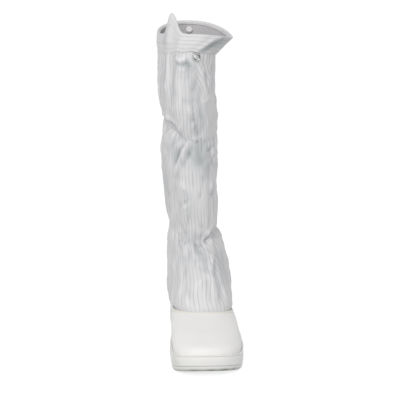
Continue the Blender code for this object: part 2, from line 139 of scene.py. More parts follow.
# Sections of the upper, as in the part, from the sole up: its ends in front and behind, its heights at
# front, back, inner and outer side, its reach to both sides, and the lengths of its rounded ends.
# A section of the foot also follows the sole: its plan, tucked inwards, and its height, from bed to rim.
Section = namedtuple(
    "Section", "name front back z_front z_back z_inner z_outer inner outer nose stern foot tuck low climb",
    defaults=(0.0, 0.0, 0.0, 3.4),
)
UPPER = (
    Section("feather", 249.0, 7.0, 17, 17, 12, 12, 33, 44, 40, 30, 1.0, 6.8, 1.0, 0.03),
    Section("cup", 252.3, 3.4, 22, 25, 18, 18, 34, 46, 41, 31, 1.0, 3.6, 1.0, 0.5),
    Section("rim", 253.4, 2.6, 27, 33, 24, 24, 36, 47, 42, 32, 1.0, 2.6, 1.0, 1.0),
    Section("side", 252.2, 1.6, 34, 43, 31, 31, 38, 44, 44, 33, 0.97, 2.0, 1.0, 1.55),
    Section("crown", 245.5, 0.8, 41.5, 52, 38, 38, 39.5, 37, 48, 34, 0.86, 2.8, 0.9, 2.05),
    Section("toe_top", 228.0, 0.4, 49.5, 60, 45, 44, 39.5, 37, 60, 40, 0.76, 3.0, 0.6, 2.5),
    Section("seam", 180.0, 0.2, 59.5, 67.5, 53, 50, 38.5, 38.5, 64, 50, 0.7, 1.5, 0.1, 3.2),
    Section("instep", 170.0, -2.0, 73, 83, 67, 65, 43.5, 45, 74, 62, 0.35),
    Section("pouf", 160.0, -3.2, 91, 103, 88, 86, 39.1, 44.2, 80, 78, 0.08),
    Section("pouf_high", 149.0, -1.0, 109, 121, 110, 107, 37.2, 40, 75, 75),
    Section("ankle_fall", 139.5, 4.0, 123, 137, 129, 125, 35.4, 36, 68, 67),
    Section("ankle_low", 131.5, 9.0, 131, 147, 143, 137, 33.6, 29.6, 61, 61),
    Section("ankle_tie", 127.0, 12.0, 136.5, 153, 150.5, 144, 31.3, 23.2, 57, 57),
    Section("ankle_high", 131.5, 9.0, 143, 160, 157, 151, 33.8, 26.4, 61, 61),
    Section("calf_low", 139.0, 3.0, 164, 178, 172, 169, 37.2, 28.6, 68, 68),
    Section("calf", 142.5, 0.0, 197, 205, 198, 197, 39.4, 27.7, 71, 71),
    Section("calf_high", 142.5, 0.0, 228, 235, 231, 227, 42.4, 26.8, 71, 71),
    Section("tie_fall", 139.5, 3.0, 248, 261, 262, 246, 42.2, 26.6, 68, 68),
    Section("tie_low", 135.0, 6.5, 255, 271, 278, 254, 40.6, 26, 64, 64),
    Section("calf_tie", 131.5, 9.0, 260.5, 277, 288, 259.5, 36.8, 24.7, 61, 61),
    Section("tie_high", 136.0, 6.0, 266, 284, 294, 265, 41.4, 26.6, 65, 65),
    Section("knee_low", 142.5, 0.0, 282, 300, 305, 281, 46, 27.4, 71, 71),
    Section("knee", 145.5, -3.5, 318, 331, 330, 317, 47.5, 24.4, 74, 74),
    Section("under_band", 144.5, -4.5, 350, 364, 357, 350, 47, 24, 74, 74),
    Section("band_foot", 144.5, -5.0, 369.5, 382, 371, 368, 46.8, 25.6, 74, 74),
    Section("band", 144.0, -6.0, 381, 393, 383, 378.5, 46.6, 34.5, 75, 75),
    Section("brim", 143.0, -7.5, 392.5, 405.5, 393.5, 388.5, 46, 46.6, 75, 75),
)
LEVEL = {row.name: index for index, row in enumerate(UPPER)}
# Levels where the shaft starts under the leather and ends in the band, and where the band starts
SHAFT_FOOT = LEVEL["seam"] - 0.45
SHAFT_TOP = LEVEL["brim"] - 0.14
CUFF_FOOT = LEVEL["band_foot"] + 0.15

# Depth of the shaft's cloth under the upper's surface where it runs below the leather
LAP_LEVELS = (SHAFT_FOOT, LEVEL["seam"] - 0.2, LEVEL["seam"], LEVEL["seam"] + 0.09, LEVEL["seam"] + 0.2,
              LEVEL["seam"] + 0.38, LEVEL["seam"] + 0.7)
LAP_DEPTHS = (2.1, 2.2, 2.4, 1.9, 0.4, -0.6, 0.0)

# Soft troughs (depth below zero) and ridges of the shaft: (turn, height) points
Fold = namedtuple("Fold", "depth width path")
FOLDS_UNDER_MOUTH = (
    Fold(2.4, 5.0, ((-33, 396), (-30, 361), (-33, 330), (-31, 300))),
    Fold(-1.7, 3.6, ((-44, 390), (-40, 350), (-43, 318))),
    Fold(-1.5, 3.6, ((-21, 390), (-19, 355), (-24, 334), (-22, 316))),
    Fold(2.4, 2.8, ((-20, 364), (-12, 361), (-4, 362))),
    Fold(-2.2, 2.0, ((-20, 359), (-11, 355), (-3, 358), (4, 353))),
    Fold(1.2, 2.4, ((-16, 352), (-8, 349), (-2, 351))),
    Fold(-1.4, 4.0, ((-2, 364), (-1, 350), (0, 335))),
    Fold(1.2, 3.4, ((10, 364), (18, 340), (31, 310))),
    Fold(-1.0, 2.8, ((17, 364), (25, 345), (36, 314))),
    Fold(-1.0, 2.2, ((4, 345), (4, 300), (6, 280), (-2, 262))),
    Fold(1.2, 4.0, ((-12, 340), (-11, 318), (-14, 298))),
    Fold(-1.1, 3.5, ((14, 330), (16, 306), (12, 286))),
)
FOLDS_AT_CALF_ELASTIC = (
    Fold(-1.9, 2.6, ((-112, 286), (-70, 286), (-34, 283), (-22, 275), (-16, 267))),
    Fold(1.2, 3.0, ((-90, 294), (-40, 291), (-24, 284), (-13, 272))),
    Fold(-1.5, 1.8, ((-34, 282), (-48, 276), (-64, 268))),
    Fold(-2.4, 9.0, ((8, 262), (10, 247), (13, 232))),
    Fold(3.2, 2.8, ((-5, 263), (-10, 252), (-14, 243), (-21, 231), (-29, 220))),
    Fold(-1.8, 2.4, ((-12, 259), (-19, 246), (-28, 233))),
    Fold(-1.6, 3.0, ((0, 256), (-6, 243), (-13, 230))),
    Fold(1.5, 2.5, ((-17, 262), (-26, 254), (-36, 244))),
    Fold(1.6, 3.0, ((42, 248), (33, 239), (17, 232))),
    Fold(-1.6, 2.6, ((44, 258), (32, 251), (22, 250))),
)
FOLDS_ON_CALF = (
    Fold(1.3, 4.0, ((12, 228), (14, 218))),
    Fold(1.4, 4.0, ((29, 210), (30, 200))),
    Fold(-1.8, 2.6, ((27, 195), (35, 193))),
    Fold(1.6, 4.0, ((-15, 214), (-14, 202))),
    Fold(-2.4, 3.0, ((-15, 187), (-8, 184))),
    Fold(1.9, 2.4, ((-19, 176), (-12, 182), (-6, 187))),
    Fold(-1.0, 5.0, ((-12, 202), (-11, 186))),
)
FOLDS_AT_ANKLE_ELASTIC = (
    Fold(-2.8, 2.2, ((46, 150), (36, 148), (27, 141), (19, 136), (12, 133))),
    Fold(1.4, 3.0, ((44, 158), (29, 150), (17, 143))),
    Fold(1.8, 3.5, ((38, 141), (26, 133), (16, 127))),
    Fold(1.5, 3.0, ((-20, 130), (-20, 118))),
    Fold(-1.5, 8.0, ((4, 134), (3, 121))),
)
FOLDS_ON_INSTEP = (
    Fold(1.6, 3.5, ((24, 128), (16, 112), (11, 99), (12, 86), (15, 72))),
    Fold(-1.2, 3.2, ((27, 126), (21, 110), (18, 96), (21, 80), (25, 64))),
    Fold(-0.8, 2.8, ((32, 122), (29, 102), (31, 84), (36, 66))),
    Fold(0.8, 4.5, ((-28, 110), (-24, 90), (-26, 72))),
    Fold(-2.4, 9.0, ((-156, 60), (-118, 71), (-104, 84), (-97, 112))),
    Fold(1.4, 5.0, ((-112, 60), (-88, 57), (-46, 58))),
)
# Sides and back, which the photo hides: the same kinds of fold, guessed
FOLDS_BEHIND = (
    Fold(-2.2, 3.0, ((140, 108), (165, 101), (185, 103), (215, 110))),
    Fold(2.0, 4.0, ((135, 117), (165, 110), (195, 112), (220, 119))),
    Fold(-1.8, 3.0, ((150, 124), (180, 119), (205, 124))),
    Fold(-1.8, 3.0, ((120, 96), (100, 84), (84, 78))),
    Fold(-1.8, 3.0, ((-120, 98), (-100, 86), (-82, 80))),
    Fold(1.8, 4.0, ((70, 246), (86, 228), (96, 206))),
    Fold(-1.6, 3.5, ((84, 248), (98, 228), (110, 210))),
    Fold(1.8, 4.0, ((-70, 262), (-88, 240), (-98, 214))),
    Fold(-1.6, 3.5, ((-84, 264), (-100, 242), (-112, 220))),
    Fold(1.8, 4.0, ((165, 262), (180, 240), (176, 214))),
    Fold(-1.8, 3.5, ((190, 262), (200, 240), (214, 222))),
    Fold(-1.8, 3.5, ((60, 292), (76, 312), (80, 336))),
    Fold(1.8, 4.0, ((96, 290), (104, 316), (100, 342))),
    Fold(-1.8, 3.5, ((150, 300), (164, 322), (168, 346))),
    Fold(1.8, 4.0, ((200, 300), (204, 326), (198, 350))),
    Fold(-1.6, 3.5, ((-150, 300), (-140, 326), (-142, 348))),
    Fold(1.8, 4.0, ((-76, 304), (-66, 326), (-66, 350))),
    Fold(-1.6, 3.5, ((60, 166), (78, 182), (84, 204))),
    Fold(-1.6, 3.5, ((150, 172), (166, 188), (170, 206))),
    Fold(1.6, 4.0, ((-80, 170), (-92, 190), (-90, 210))),
    Fold(1.6, 4.0, ((-150, 172), (-160, 190), (-158, 212))),
)
# Heights of the dimples along the front seam
SEAM_DIMPLES = (325, 311, 302, 295, 287, 277, 268)
# Small puckers where the elastics are sewn on: (turn, height)
PUCKERS = (
    (-9, 262), (1, 263), (7, 261), (13, 264), (20, 261), (28, 263), (36, 262), (43, 264),
    (-30, 135), (-24, 136), (-18, 134), (-12, 136), (-7, 135), (-1, 133),
)
FOLDS = (
    FOLDS_UNDER_MOUTH + FOLDS_AT_CALF_ELASTIC + FOLDS_ON_CALF + FOLDS_AT_ANKLE_ELASTIC
    + FOLDS_ON_INSTEP + FOLDS_BEHIND
    + tuple(Fold(-0.8, 1.6, ((2, height), (7, height + 3))) for height in SEAM_DIMPLES)
    + tuple(Fold(-1.7, 1.7, ((turn, height - 2), (turn + 1, height + 2))) for turn, height in PUCKERS)
)
# Folds of the band at the mouth: a crease that turns it outwards to the flared outer corner
CUFF_FOLDS = (
    Fold(2.4, 3.2, ((30, 391), (18, 386), (10, 376), (4, 366))),
    Fold(-2.6, 5.5, ((38, 386), (24, 379), (16, 370), (12, 362))),
    Fold(-1.0, 3.0, ((150, 392), (158, 380))),
    Fold(-1.0, 3.0, ((-140, 390), (-132, 378))),
)
# Slacker rows at the elastics and the instep, and the turns between which the cloth takes them
Ease = namedtuple("Ease", "name front back inner outer")
CALF_EASE = (
    Ease("tie_fall", 141.8, 1.2, 42.6, 26.8),
    Ease("tie_low", 140.6, 2.2, 43.0, 26.6),
    Ease("calf_tie", 139.8, 3.0, 43.2, 26.4),
    Ease("tie_high", 140.4, 2.6, 44.0, 26.6),
)
ANKLE_EASE = (
    Ease("ankle_fall", 141.0, 4.0, 36.0, 35.6),
    Ease("ankle_low", 135.6, 8.4, 34.6, 30.2),
    Ease("ankle_tie", 132.8, 10.0, 33.2, 25.6),
    Ease("ankle_high", 133.6, 8.6, 34.4, 27.0),
)
INSTEP_EASE = (
    Ease("instep", 170.0, -2.0, 39.6, 45.0),
    Ease("pouf", 160.0, -3.2, 38.0, 44.2),
)
CALF_EASE_TURNS = (-14.0, 120.0)
ANKLE_EASE_TURNS = (-66.0, 12.0)
INSTEP_EASE_TURNS = (-176.0, -54.0)
# Broad painted shade where the slack cloth sinks in: share of grey tint as depth
SHADES = (
    Fold(0.42, 15.0, ((6, 264), (11, 246), (20, 228), (24, 214))),
    Fold(0.20, 26.0, ((-4, 300), (2, 262), (4, 226))),
    Fold(0.30, 10.0, ((-2, 356), (2, 332), (4, 306))),
    Fold(0.35, 6.0, ((-9, 358), (0, 354), (8, 350))),
    Fold(0.22, 8.0, ((-44, 360), (-42, 330), (-40, 308))),
    Fold(0.26, 12.0, ((16, 312), (12, 290), (4, 272))),
    Fold(0.26, 10.0, ((-34, 268), (-24, 250), (-20, 232))),
    Fold(0.30, 10.0, ((-26, 146), (-6, 138), (8, 132))),
    Fold(0.24, 14.0, ((-12, 200), (-8, 176), (0, 160))),
    Fold(0.28, 9.0, ((2, 128), (4, 112))),
    Fold(0.30, 10.0, ((40, 124), (34, 104), (38, 80))),
    Fold(0.30, 12.0, ((-66, 230), (-64, 200), (-62, 178))),
    Fold(0.15, 18.0, ((-50, 118), (0, 114), (50, 106))),
)
# Painted shade on the band: under its flared outer corner, and a narrow strip on its inner front
CUFF_SHADES = (
    Fold(0.60, 9.0, ((64, 390), (38, 385), (22, 378), (14, 369), (9, 362))),
    Fold(0.30, 6.0, ((-48, 392), (-44, 376), (-42, 364))),
)


class Curve:
    """Smooth curve through the rows of a table, for one of its columns, without overshoot."""

    def __init__(self, xs, ys):
        self.xs = np.array(xs, float)
        self.ys = np.array(ys, float)
        steps = np.diff(self.ys) / np.diff(self.xs)
        lean = [steps[0]]
        for before, after in zip(steps, steps[1:]):
            lean.append(0.0 if before * after <= 0 else 2 * before * after / (before + after))
        lean.append(steps[-1])
        self.lean = np.array(lean)

    def at(self, x):
        x = np.clip(x, self.xs[0], self.xs[-1])
        i = np.clip(np.searchsorted(self.xs, x, side="right") - 1, 0, len(self.xs) - 2)
        span = self.xs[i + 1] - self.xs[i]
        t = (x - self.xs[i]) / span
        rise = (2 * t**3 - 3 * t**2 + 1) * self.ys[i] + (3 * t**2 - 2 * t**3) * self.ys[i + 1]
        return rise + ((t**3 - 2 * t**2 + t) * self.lean[i] + (t**3 - t**2) * self.lean[i + 1]) * span


def table_curves(rows, key=None):
    """One curve for every numeric column of a table, read along the key column or the row number."""
    xs = [getattr(row, key) if key else index for index, row in enumerate(rows)]
    columns = [name for name in rows[0]._fields if name not in (key, "name", "step")]
    return {name: Curve(xs, [float(getattr(row, name)) for row in rows]) for name in columns}


def eased(rows, eases):
    """The upper's table with slacker rows put in."""
    new = {ease.name: ease for ease in eases}
    return [
        row._replace(**{key: getattr(new[row.name], key) for key in ("front", "back", "inner", "outer")})
        if row.name in new else row
        for row in rows
    ]


PLAN_AT = table_curves(PLAN, "along")
SOLE_AT = table_curves(SOLE, "along")
UPPER_AT = table_curves(UPPER)
EASED_TIES_AT = table_curves(eased(UPPER, CALF_EASE + ANKLE_EASE))
EASED_INSTEP_AT = table_curves(eased(UPPER, INSTEP_EASE))


def place(along, x, z):
    """Points in the frame's axes, still in millimetres."""
    along, x, z = np.broadcast_arrays(along, x, z)
    return np.stack([x, HEEL_CENTRE - along, z], axis=-1).astype(float)


def rounding(distance, depth, corner):
    """Share of the full width at a distance from a rounded end."""
    t = np.clip(distance / depth, 0.0, 1.0)
    return np.maximum(1.0 - (1.0 - t) ** corner, 0.0) ** (1.0 / corner)


def plan_point(angle, front, back, inner, outer, foot, tuck, nose, stern):
    """Distance from the heel's back and sideways reach of a ring at an angle from its front."""
    along = front + (back - front) * (1.0 - np.cos(angle)) / 2.0
    inner = foot * (PLAN_AT["inner"].at(along) - tuck) + (1.0 - foot) * inner
    outer = foot * (PLAN_AT["outer"].at(along) - tuck) + (1.0 - foot) * outer
    corner = foot * FOOT_CORNER + (1.0 - foot) * SHAFT_CORNER
    width = rounding(front - along, nose, corner) * rounding(along - back, stern, corner)
    side = np.sign(np.round(np.sin(angle), 9))
    return along, (outer - inner) / 2.0 + side * width * (outer + inner) / 2.0


def tilted_height(row, angle):
    """Height of a tilted ring at an angle, from its heights at front, back, inner and outer side."""
    mean = (row["z_front"] + row["z_back"] + row["z_inner"] + row["z_outer"]) / 4.0
    fore = (row["z_front"] - row["z_back"]) / 2.0
    across = (row["z_outer"] - row["z_inner"]) / 2.0
    return mean + fore * np.cos(angle) + across * np.sin(angle)


def upper_point(level, angle, curves=UPPER_AT):
    """Points of the upper's outer surface, for arrays of levels and angles."""
    row = {name: curve.at(level) for name, curve in curves.items()}
    along, x = plan_point(
        angle, row["front"], row["back"], row["inner"], row["outer"],
        row["foot"], row["tuck"], row["nose"], row["stern"],
    )
    saddle = (row["z_front"] + row["z_back"] - row["z_inner"] - row["z_outer"]) / 4.0
    free = tilted_height(row, angle) + saddle * np.cos(2 * angle)
    bed = SOLE_AT["bed"].at(along)
    on_sole = bed + (SOLE_AT["rim"].at(along) - bed) * row["climb"]
    return place(along, x, row["low"] * on_sole + (1.0 - row["low"]) * free)


ANGLE_STEP = 0.03


def upper_normal(level, angle, reach=0.06):
    """Outward direction of the upper's surface, evened out over a reach of levels."""
    low = np.maximum(level - reach, 0.0)
    high = np.minimum(level + reach, len(UPPER) - 1.0)
    around = upper_point(level, angle + ANGLE_STEP) - upper_point(level, angle - ANGLE_STEP)
    upwards = upper_point(high, angle) - upper_point(low, angle)
    out = np.cross(around, upwards)
    return out / np.linalg.norm(out, axis=-1, keepdims=True)


def upper_laid(level, angle, depth):
    """Points a depth under the upper's surface."""
    level, angle, depth = np.broadcast_arrays(level, angle, depth)
    return upper_point(level, angle) - upper_normal(level, angle) * depth[..., None]


def angles_round(count):
    """Even angles all round."""
    return 2 * math.pi * np.arange(count) / count


class EvenShares:
    """Angle at which an even share of the way round lies, for any level of the shaft."""

    FINE = 1440
    LEVELS = 160

    def __init__(self, count):
        self.shares = np.arange(count) / count
        self.levels = np.linspace(SHAFT_FOOT, len(UPPER) - 1.0, self.LEVELS)
        fine = 2 * math.pi * np.arange(self.FINE + 1) / self.FINE
        points = upper_point(self.levels[:, None], fine[None, :])
        steps = np.linalg.norm(np.diff(points, axis=1), axis=2)
        gone = np.concatenate([np.zeros((len(self.levels), 1)), np.cumsum(steps, axis=1)], axis=1)
        self.girth = gone[:, -1]
        self.table = np.array([np.interp(self.shares * g[-1], g, fine) for g in gone])

    def angles(self, levels):
        """Angle of every share at every level, as a grid."""
        columns = [np.interp(levels, self.levels, self.table[:, j]) for j in range(len(self.shares))]
        return np.stack(columns, axis=1)

    def girths(self, levels):
        """Way round at every level."""
        return np.interp(levels, self.levels, self.girth)


EVEN = EvenShares(CLOTH_SHARES)


def sole_ring(tuck, height):
    """Ring of the sole's plan, tucked inwards, at a height given for each distance from the heel."""
    along, x = plan_point(
        angles_round(SOLE_POINTS), SOLE_LENGTH - tuck, tuck, 0.0, 0.0, 1.0, tuck,
        TOE_ROUND - tuck, HEEL_ROUND - tuck,
    )
    return place(along, x, height(along))


def between(low, high, climb, shift=0.0):
    """Height function between two columns of the sole's table."""
    def height(along):
        start = SOLE_AT[low].at(along)
        return start + (SOLE_AT[high].at(along) - start) * climb + shift
    return height


def wall_steps(table):
    """Tuck and climb of a sole's side in fine steps."""
    tuck = Curve(range(len(table)), [row.tuck for row in table])
    climb = Curve(range(len(table)), [row.climb for row in table])
    marks = np.linspace(0, len(table) - 1, (len(table) - 1) * WALL_STEPS + 1)
    return [(float(tuck.at(m)), float(climb.at(m))) for m in marks]


# Modelling by hand: circles pulled up ring by ring

def deselect_all():
    if bpy.context.mode != "OBJECT":
        bpy.ops.object.mode_set(mode="OBJECT")
    bpy.ops.object.select_all(action="DESELECT")


def select_only(piece):
    deselect_all()
    piece.select_set(True)
    bpy.context.view_layer.objects.active = piece


def face_out(piece):
    """Turns all faces of a piece outwards."""
    select_only(piece)
    bpy.ops.object.mode_set(mode="EDIT")
    bpy.ops.mesh.select_all(action="SELECT")
    bpy.ops.mesh.normals_make_consistent(inside=False)
    bpy.ops.object.mode_set(mode="OBJECT")


def lay_ring(verts, ring):
    for vert, point in zip(verts, ring):
        vert.co = Vector(point) * MM


def close_across(bm, row, downwards):
    """Close a ring with strips that run straight across the foot."""
    half = len(row) // 2
    for k in range(half):
        strip = [row[k], row[k + 1]]
        if k + 1 < half:
            strip.append(row[len(row) - k - 1])
        if k > 0:
            strip.append(row[len(row) - k])
        if downwards:
            strip.reverse()
        bm.faces.new(strip)


def pull_up(name, rings, ends="closed"):
    """A circle laid on the first ring, then extruded and laid on each ring after it.

    ends is "closed" for a solid, or "loop" for a wall whose last ring joins the first.
    """
    deselect_all()
    bpy.ops.mesh.primitive_circle_add(vertices=len(rings[0]), radius=MM, location=(0, 0, 0))
    piece = bpy.context.object
    piece.name = name
    piece.data.name = name
    bpy.ops.object.mode_set(mode="EDIT")
    bpy.ops.mesh.select_all(action="SELECT")
    bm = bmesh.from_edit_mesh(piece.data)
    bm.verts.ensure_lookup_table()
    row = list(bm.verts)
    lay_ring(row, rings[0])
    places = [[vert.index for vert in row]]
    for ring in rings[1:]:
        bpy.ops.mesh.extrude_edges_move()
        bm = bmesh.from_edit_mesh(piece.data)
        bm.verts.ensure_lookup_table()
        bm.verts.index_update()
        row = []
        for index in places[-1]:
            grown = [e.other_vert(bm.verts[index]) for e in bm.verts[index].link_edges]
            row.append(next(vert for vert in grown if vert.select))
        lay_ring(row, ring)
        places.append([vert.index for vert in row])
    first = [bm.verts[index] for index in places[0]]
    if ends == "loop":
        for k in range(len(row)):
            n = (k + 1) % len(row)
            bm.faces.new((row[k], row[n], first[n], first[k]))
    else:
        close_across(bm, first, downwards=True)
        close_across(bm, row, downwards=False)
    bmesh.update_edit_mesh(piece.data)
    face_out(piece)
    return piece


def finish_piece(piece, surface, node, smooth=40.0, replaces=True):
    """Material, smooth shading and body of a finished piece; hides the CAD part it replaces."""
    select_only(piece)
    bpy.ops.object.shade_smooth_by_angle(angle=math.radians(smooth))
    if surface:
        piece.data.materials.clear()
        piece.data.materials.append(surface)
    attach(piece, "root")
    if replaces:
        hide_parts(node)
    return piece


# Materials

# A Mix node's two colours and its result go by number, because their names stand for other sockets too
FIRST, SECOND, MIXED = 6, 7, 2

# Sizes of the cloth's patterns: drifting white, and stretches in which the lines fade
CLOTH_CLOUD = 38.5
LINE_PATCH = 25.0
# The real threads lie 0.2 mm apart; drawn coarser, so that the weave still breaks up the light
CLOTH_WEAVE = 0.714
# The carbon yarns are some 0.5 mm wide; drawn wider, so that they show at 1.25 mm a pixel
LINE_WIDTH = 0.8
REVERSE_LINE_WIDTH = 1.0
LINE_SOFTNESS = 0.3
LINE_FAINTEST = 0.2
LINE_STRENGTH = 0.56
BUMP_DEPTH = 0.3 * MM
CLOTH_BUMP_DEPTH = 0.4 * MM


def colour(hex_code):
    """Linear colour of an sRGB hex value."""
    parts = [int(hex_code[i:i + 2], 16) / 255.0 for i in (0, 2, 4)]
    return tuple(c / 12.92 if c <= 0.04045 else ((c + 0.055) / 1.055) ** 2.4 for c in parts) + (1.0,)


def add_node(owner, kind, inputs=None, **settings):
    """Adds one node to a material or the world; an input is a value or a (node, output) link."""
    tree = owner.node_tree
    made = tree.nodes.new(kind)
    for key, value in settings.items():
        setattr(made, key, value)
    for socket, value in (inputs or {}).items():
        if isinstance(value, tuple) and len(value) == 2:
            tree.links.new(value[0].outputs[value[1]], made.inputs[socket])
        else:
            made.inputs[socket].default_value = value
    return made


def new_material(name, **sockets):
    """Material and its Principled shader, whose sockets are given by name."""
    material = bpy.data.materials.new(name)
    material.use_nodes = True
    shader = material.node_tree.nodes["Principled BSDF"]
    for socket, value in sockets.items():
        shader.inputs[socket.replace("_", " ")].default_value = value
    return material, shader


def connect(owner, shader, links):
    """Links (node, output) pairs to the shader's sockets."""
    for socket, (source, output) in links.items():
        owner.node_tree.links.new(source.outputs[output], shader.inputs[socket])


def stripes(material, coordinate, count, line_width):
    """Mask of thin lines, count of them over one unit of the coordinate."""
    scaled = add_node(material, "ShaderNodeMath", {0: coordinate, 1: float(count)}, operation="MULTIPLY")
    away = add_node(material, "ShaderNodeMath", {0: (scaled, 0), 1: 1.0}, operation="PINGPONG")
    # Pingpong folds each pair of pitches, so lines at both of its ends lie one pitch apart
    centred = add_node(material, "ShaderNodeMath", {0: (away, 0), 1: 0.5}, operation="SUBTRACT")
    distance = add_node(material, "ShaderNodeMath", {0: (centred, 0)}, operation="ABSOLUTE")
    edge = 0.5 - line_width / STRIPE_PITCH / 2
    blur = LINE_SOFTNESS / STRIPE_PITCH
    return add_node(
        material, "ShaderNodeMapRange",
        {"Value": (distance, 0), "From Min": edge - blur, "From Max": edge + blur},
        interpolation_type="SMOOTHSTEP",
    )


def striped_polyester(name, axis, count, line_width, dark="d7d7d8", light="e3e0e1"):
    """White polyester taffeta with carbon yarns: soft sheen, fine weave, thin grey lines, painted highlight
    and painted shade over its folds.
    """
    material, shader = new_material(name, Roughness=0.62, IOR=1.58, Sheen_Weight=0.12, Sheen_Roughness=0.45)
    spot = add_node(material, "ShaderNodeTexCoord")
    cloud, patch, weave = [
        add_node(
            material, "ShaderNodeTexNoise",
            {"Vector": (spot, "Object"), "Scale": 1000.0 / size, "Detail": detail},
        )
        for size, detail in ((CLOTH_CLOUD, 3.0), (LINE_PATCH, 2.0), (CLOTH_WEAVE, 1.0))
    ]
    tone = add_node(
        material, "ShaderNodeMix",
        {"Factor": (cloud, 0), FIRST: colour(dark), SECOND: colour(light)}, data_type="RGBA",
    )
    ridge, hollow, shown = [
        add_node(material, "ShaderNodeAttribute", attribute_name=mark)
        for mark in ("ridge", "hollow", "striped")
    ]
    uv = add_node(material, "ShaderNodeUVMap", uv_map="cloth")
    split = add_node(material, "ShaderNodeSeparateXYZ", {0: (uv, 0)})
    lines = stripes(material, (split, axis), count, line_width)
    fading = add_node(
        material, "ShaderNodeMapRange",
        {
            "Value": (patch, 0), "From Min": 0.35, "From Max": 0.65,
            "To Min": LINE_FAINTEST, "To Max": LINE_STRENGTH,
        },
    )
    strength = lines
    for factor in ((fading, 0), (shown, "Fac")):
        strength = add_node(material, "ShaderNodeMath", {0: (strength, 0), 1: factor}, operation="MULTIPLY")
    # Painted highlight on the ridges and painted shade in the hollows, then the grey carbon lines
    for share, tint in (((ridge, "Fac"), "f4f1f3"), ((hollow, "Fac"), "9aa2a3"), ((strength, 0), "8e9294")):
        tone = add_node(
            material, "ShaderNodeMix",
            {"Factor": share, FIRST: (tone, MIXED), SECOND: colour(tint)}, data_type="RGBA",
        )
    raised = add_node(
        material, "ShaderNodeMath", {0: (lines, 0), 1: 0.5, 2: (weave, 0)}, operation="MULTIPLY_ADD",
    )
    bump = add_node(
        material, "ShaderNodeBump", {"Height": (raised, 0), "Strength": 0.18, "Distance": CLOTH_BUMP_DEPTH},
    )
    connect(material, shader, {"Base Color": (tone, MIXED), "Normal": (bump, 0)})
    return material


def mottled(
    name, dark, light, cloud, gloss, grain, strength, detail=4.0, pebbled=False, worn=None, **sockets,
):
    """Material whose tone and gloss drift in clouds over a fine grain; both sizes in millimetres.

    A pebbled grain has the round cells of leather; a last colour, if given, goes under the piece's scuffs,
    grime and painted shade.
    """
    material, shader = new_material(name, **sockets)
    spot = add_node(material, "ShaderNodeTexCoord")
    clouds = add_node(
        material, "ShaderNodeTexNoise",
        {"Vector": (spot, "Object"), "Scale": 1000.0 / cloud, "Detail": detail},
    )
    tone = add_node(
        material, "ShaderNodeMix",
        {"Factor": (clouds, 0), FIRST: colour(dark), SECOND: colour(light)}, data_type="RGBA",
    )
    # Grey under the scuffs, grime and painted shade
    if worn:
        marks = add_node(material, "ShaderNodeAttribute", attribute_name="worn")
        tone = add_node(
            material, "ShaderNodeMix",
            {"Factor": (marks, "Fac"), FIRST: (tone, MIXED), SECOND: colour(worn)}, data_type="RGBA",
        )
    shine = add_node(
        material, "ShaderNodeMapRange", {"Value": (clouds, 0), "To Min": gloss[0], "To Max": gloss[1]},
    )
    fine = add_node(
        material, "ShaderNodeTexVoronoi" if pebbled else "ShaderNodeTexNoise",
        {"Vector": (spot, "Object"), "Scale": 1000.0 / grain, "Detail": 0.0 if pebbled else 2.0},
    )
    bump = add_node(
        material, "ShaderNodeBump", {"Height": (fine, 0), "Strength": strength, "Distance": BUMP_DEPTH},
    )
    connect(material, shader, {"Base Color": (tone, MIXED), "Roughness": (shine, 0), "Normal": (bump, 0)})
    return material


def coated_leather():
    """Smooth polyurethane-coated leather: off-white, satin, with a fine even grain about 1 mm wide."""
    return mottled(
        "coated_leather", "efedea", "f4f3f1", 45.5, (0.5, 0.62), 1.11, 0.12,
        pebbled=True, IOR=1.5, Coat_Weight=0.05, Coat_Roughness=0.4,
    )


def folded_edge():
    """The leather's folded top edge: creamier and duller, where the coating is bent and rubbed."""
    return mottled("folded_leather_edge", "e5e2d7", "efede6", 6.0, (0.44, 0.58), 0.9, 0.25, IOR=1.5)


def moulded_polyurethane(name, dark, light, worn):
    """Moulded polyurethane: off-white skin, satin, faintly mottled, greyed in its scuffs, grime and painted
    shade.
    """
    # The mould's spark-eroded grit is some 0.3 mm wide; drawn coarser, so that it softens the gloss
    return mottled(name, dark, light, 16.7, (0.42, 0.6), 1.43, 0.1, detail=5.0, worn=worn, IOR=1.5)


def nickel():
    """Nickel-plated brass: grey mirror, softened by handling and faint plating clouds."""
    return mottled("nickel_plate", "a9abaa", "c7c9c8", 1.6, (0.42, 0.58), 0.25, 0.08, Metallic=1.0)


def dark_reflection_paint():
    """Painted dark reflections in the stud's turned groove: nearly black metal, uneven."""
    return mottled("dark_oxide", "3d3f3e", "5b5d5c", 0.8, (0.34, 0.5), 0.25, 0.15, Metallic=1.0)


def acetal():
    """Moulded acetal cap: white, waxy gloss with faint flow marks."""
    return mottled("acetal_cap", "e3e2df", "efeeec", 3.0, (0.27, 0.38), 0.6, 0.06, IOR=1.48)


def sewing_thread():
    """Bonded polyester thread: white, dull, its plies just showing."""
    return mottled("polyester_thread", "dbdad6", "ecebe9", 2.0, (0.6, 0.8), 0.3, 0.4, IOR=1.55)


def insole_cloth():
    """Needled textile over board: matt, slightly warm white, fuzzy."""
    return mottled("insole_textile", "d8d7d0", "e2e1dc", 12.0, (0.9, 1.0), 1.1, 0.6, IOR=1.5)


# Relief of the slack cloth, over grids of turn, height and girth

Cloth = namedtuple("Cloth", "turn height girth")
FAR = 1e9
# Girths along which the puckers are spread: at the elastics, and at the leather's top line
TIE_GIRTH = 330.0
TOP_LINE_GIRTH = 430.0
# The leather's top line: its mean height, its rise in front and behind, and where the puckers start
TOP_LINE = 57.5
TOP_LINE_SADDLE = 3.4
HEM_PUCKERS_FROM = 4.0
FLUTE_FADE = 14.0
DEEPEST_HOLLOW = -4.5
HIGHEST_RIDGE = 4.0
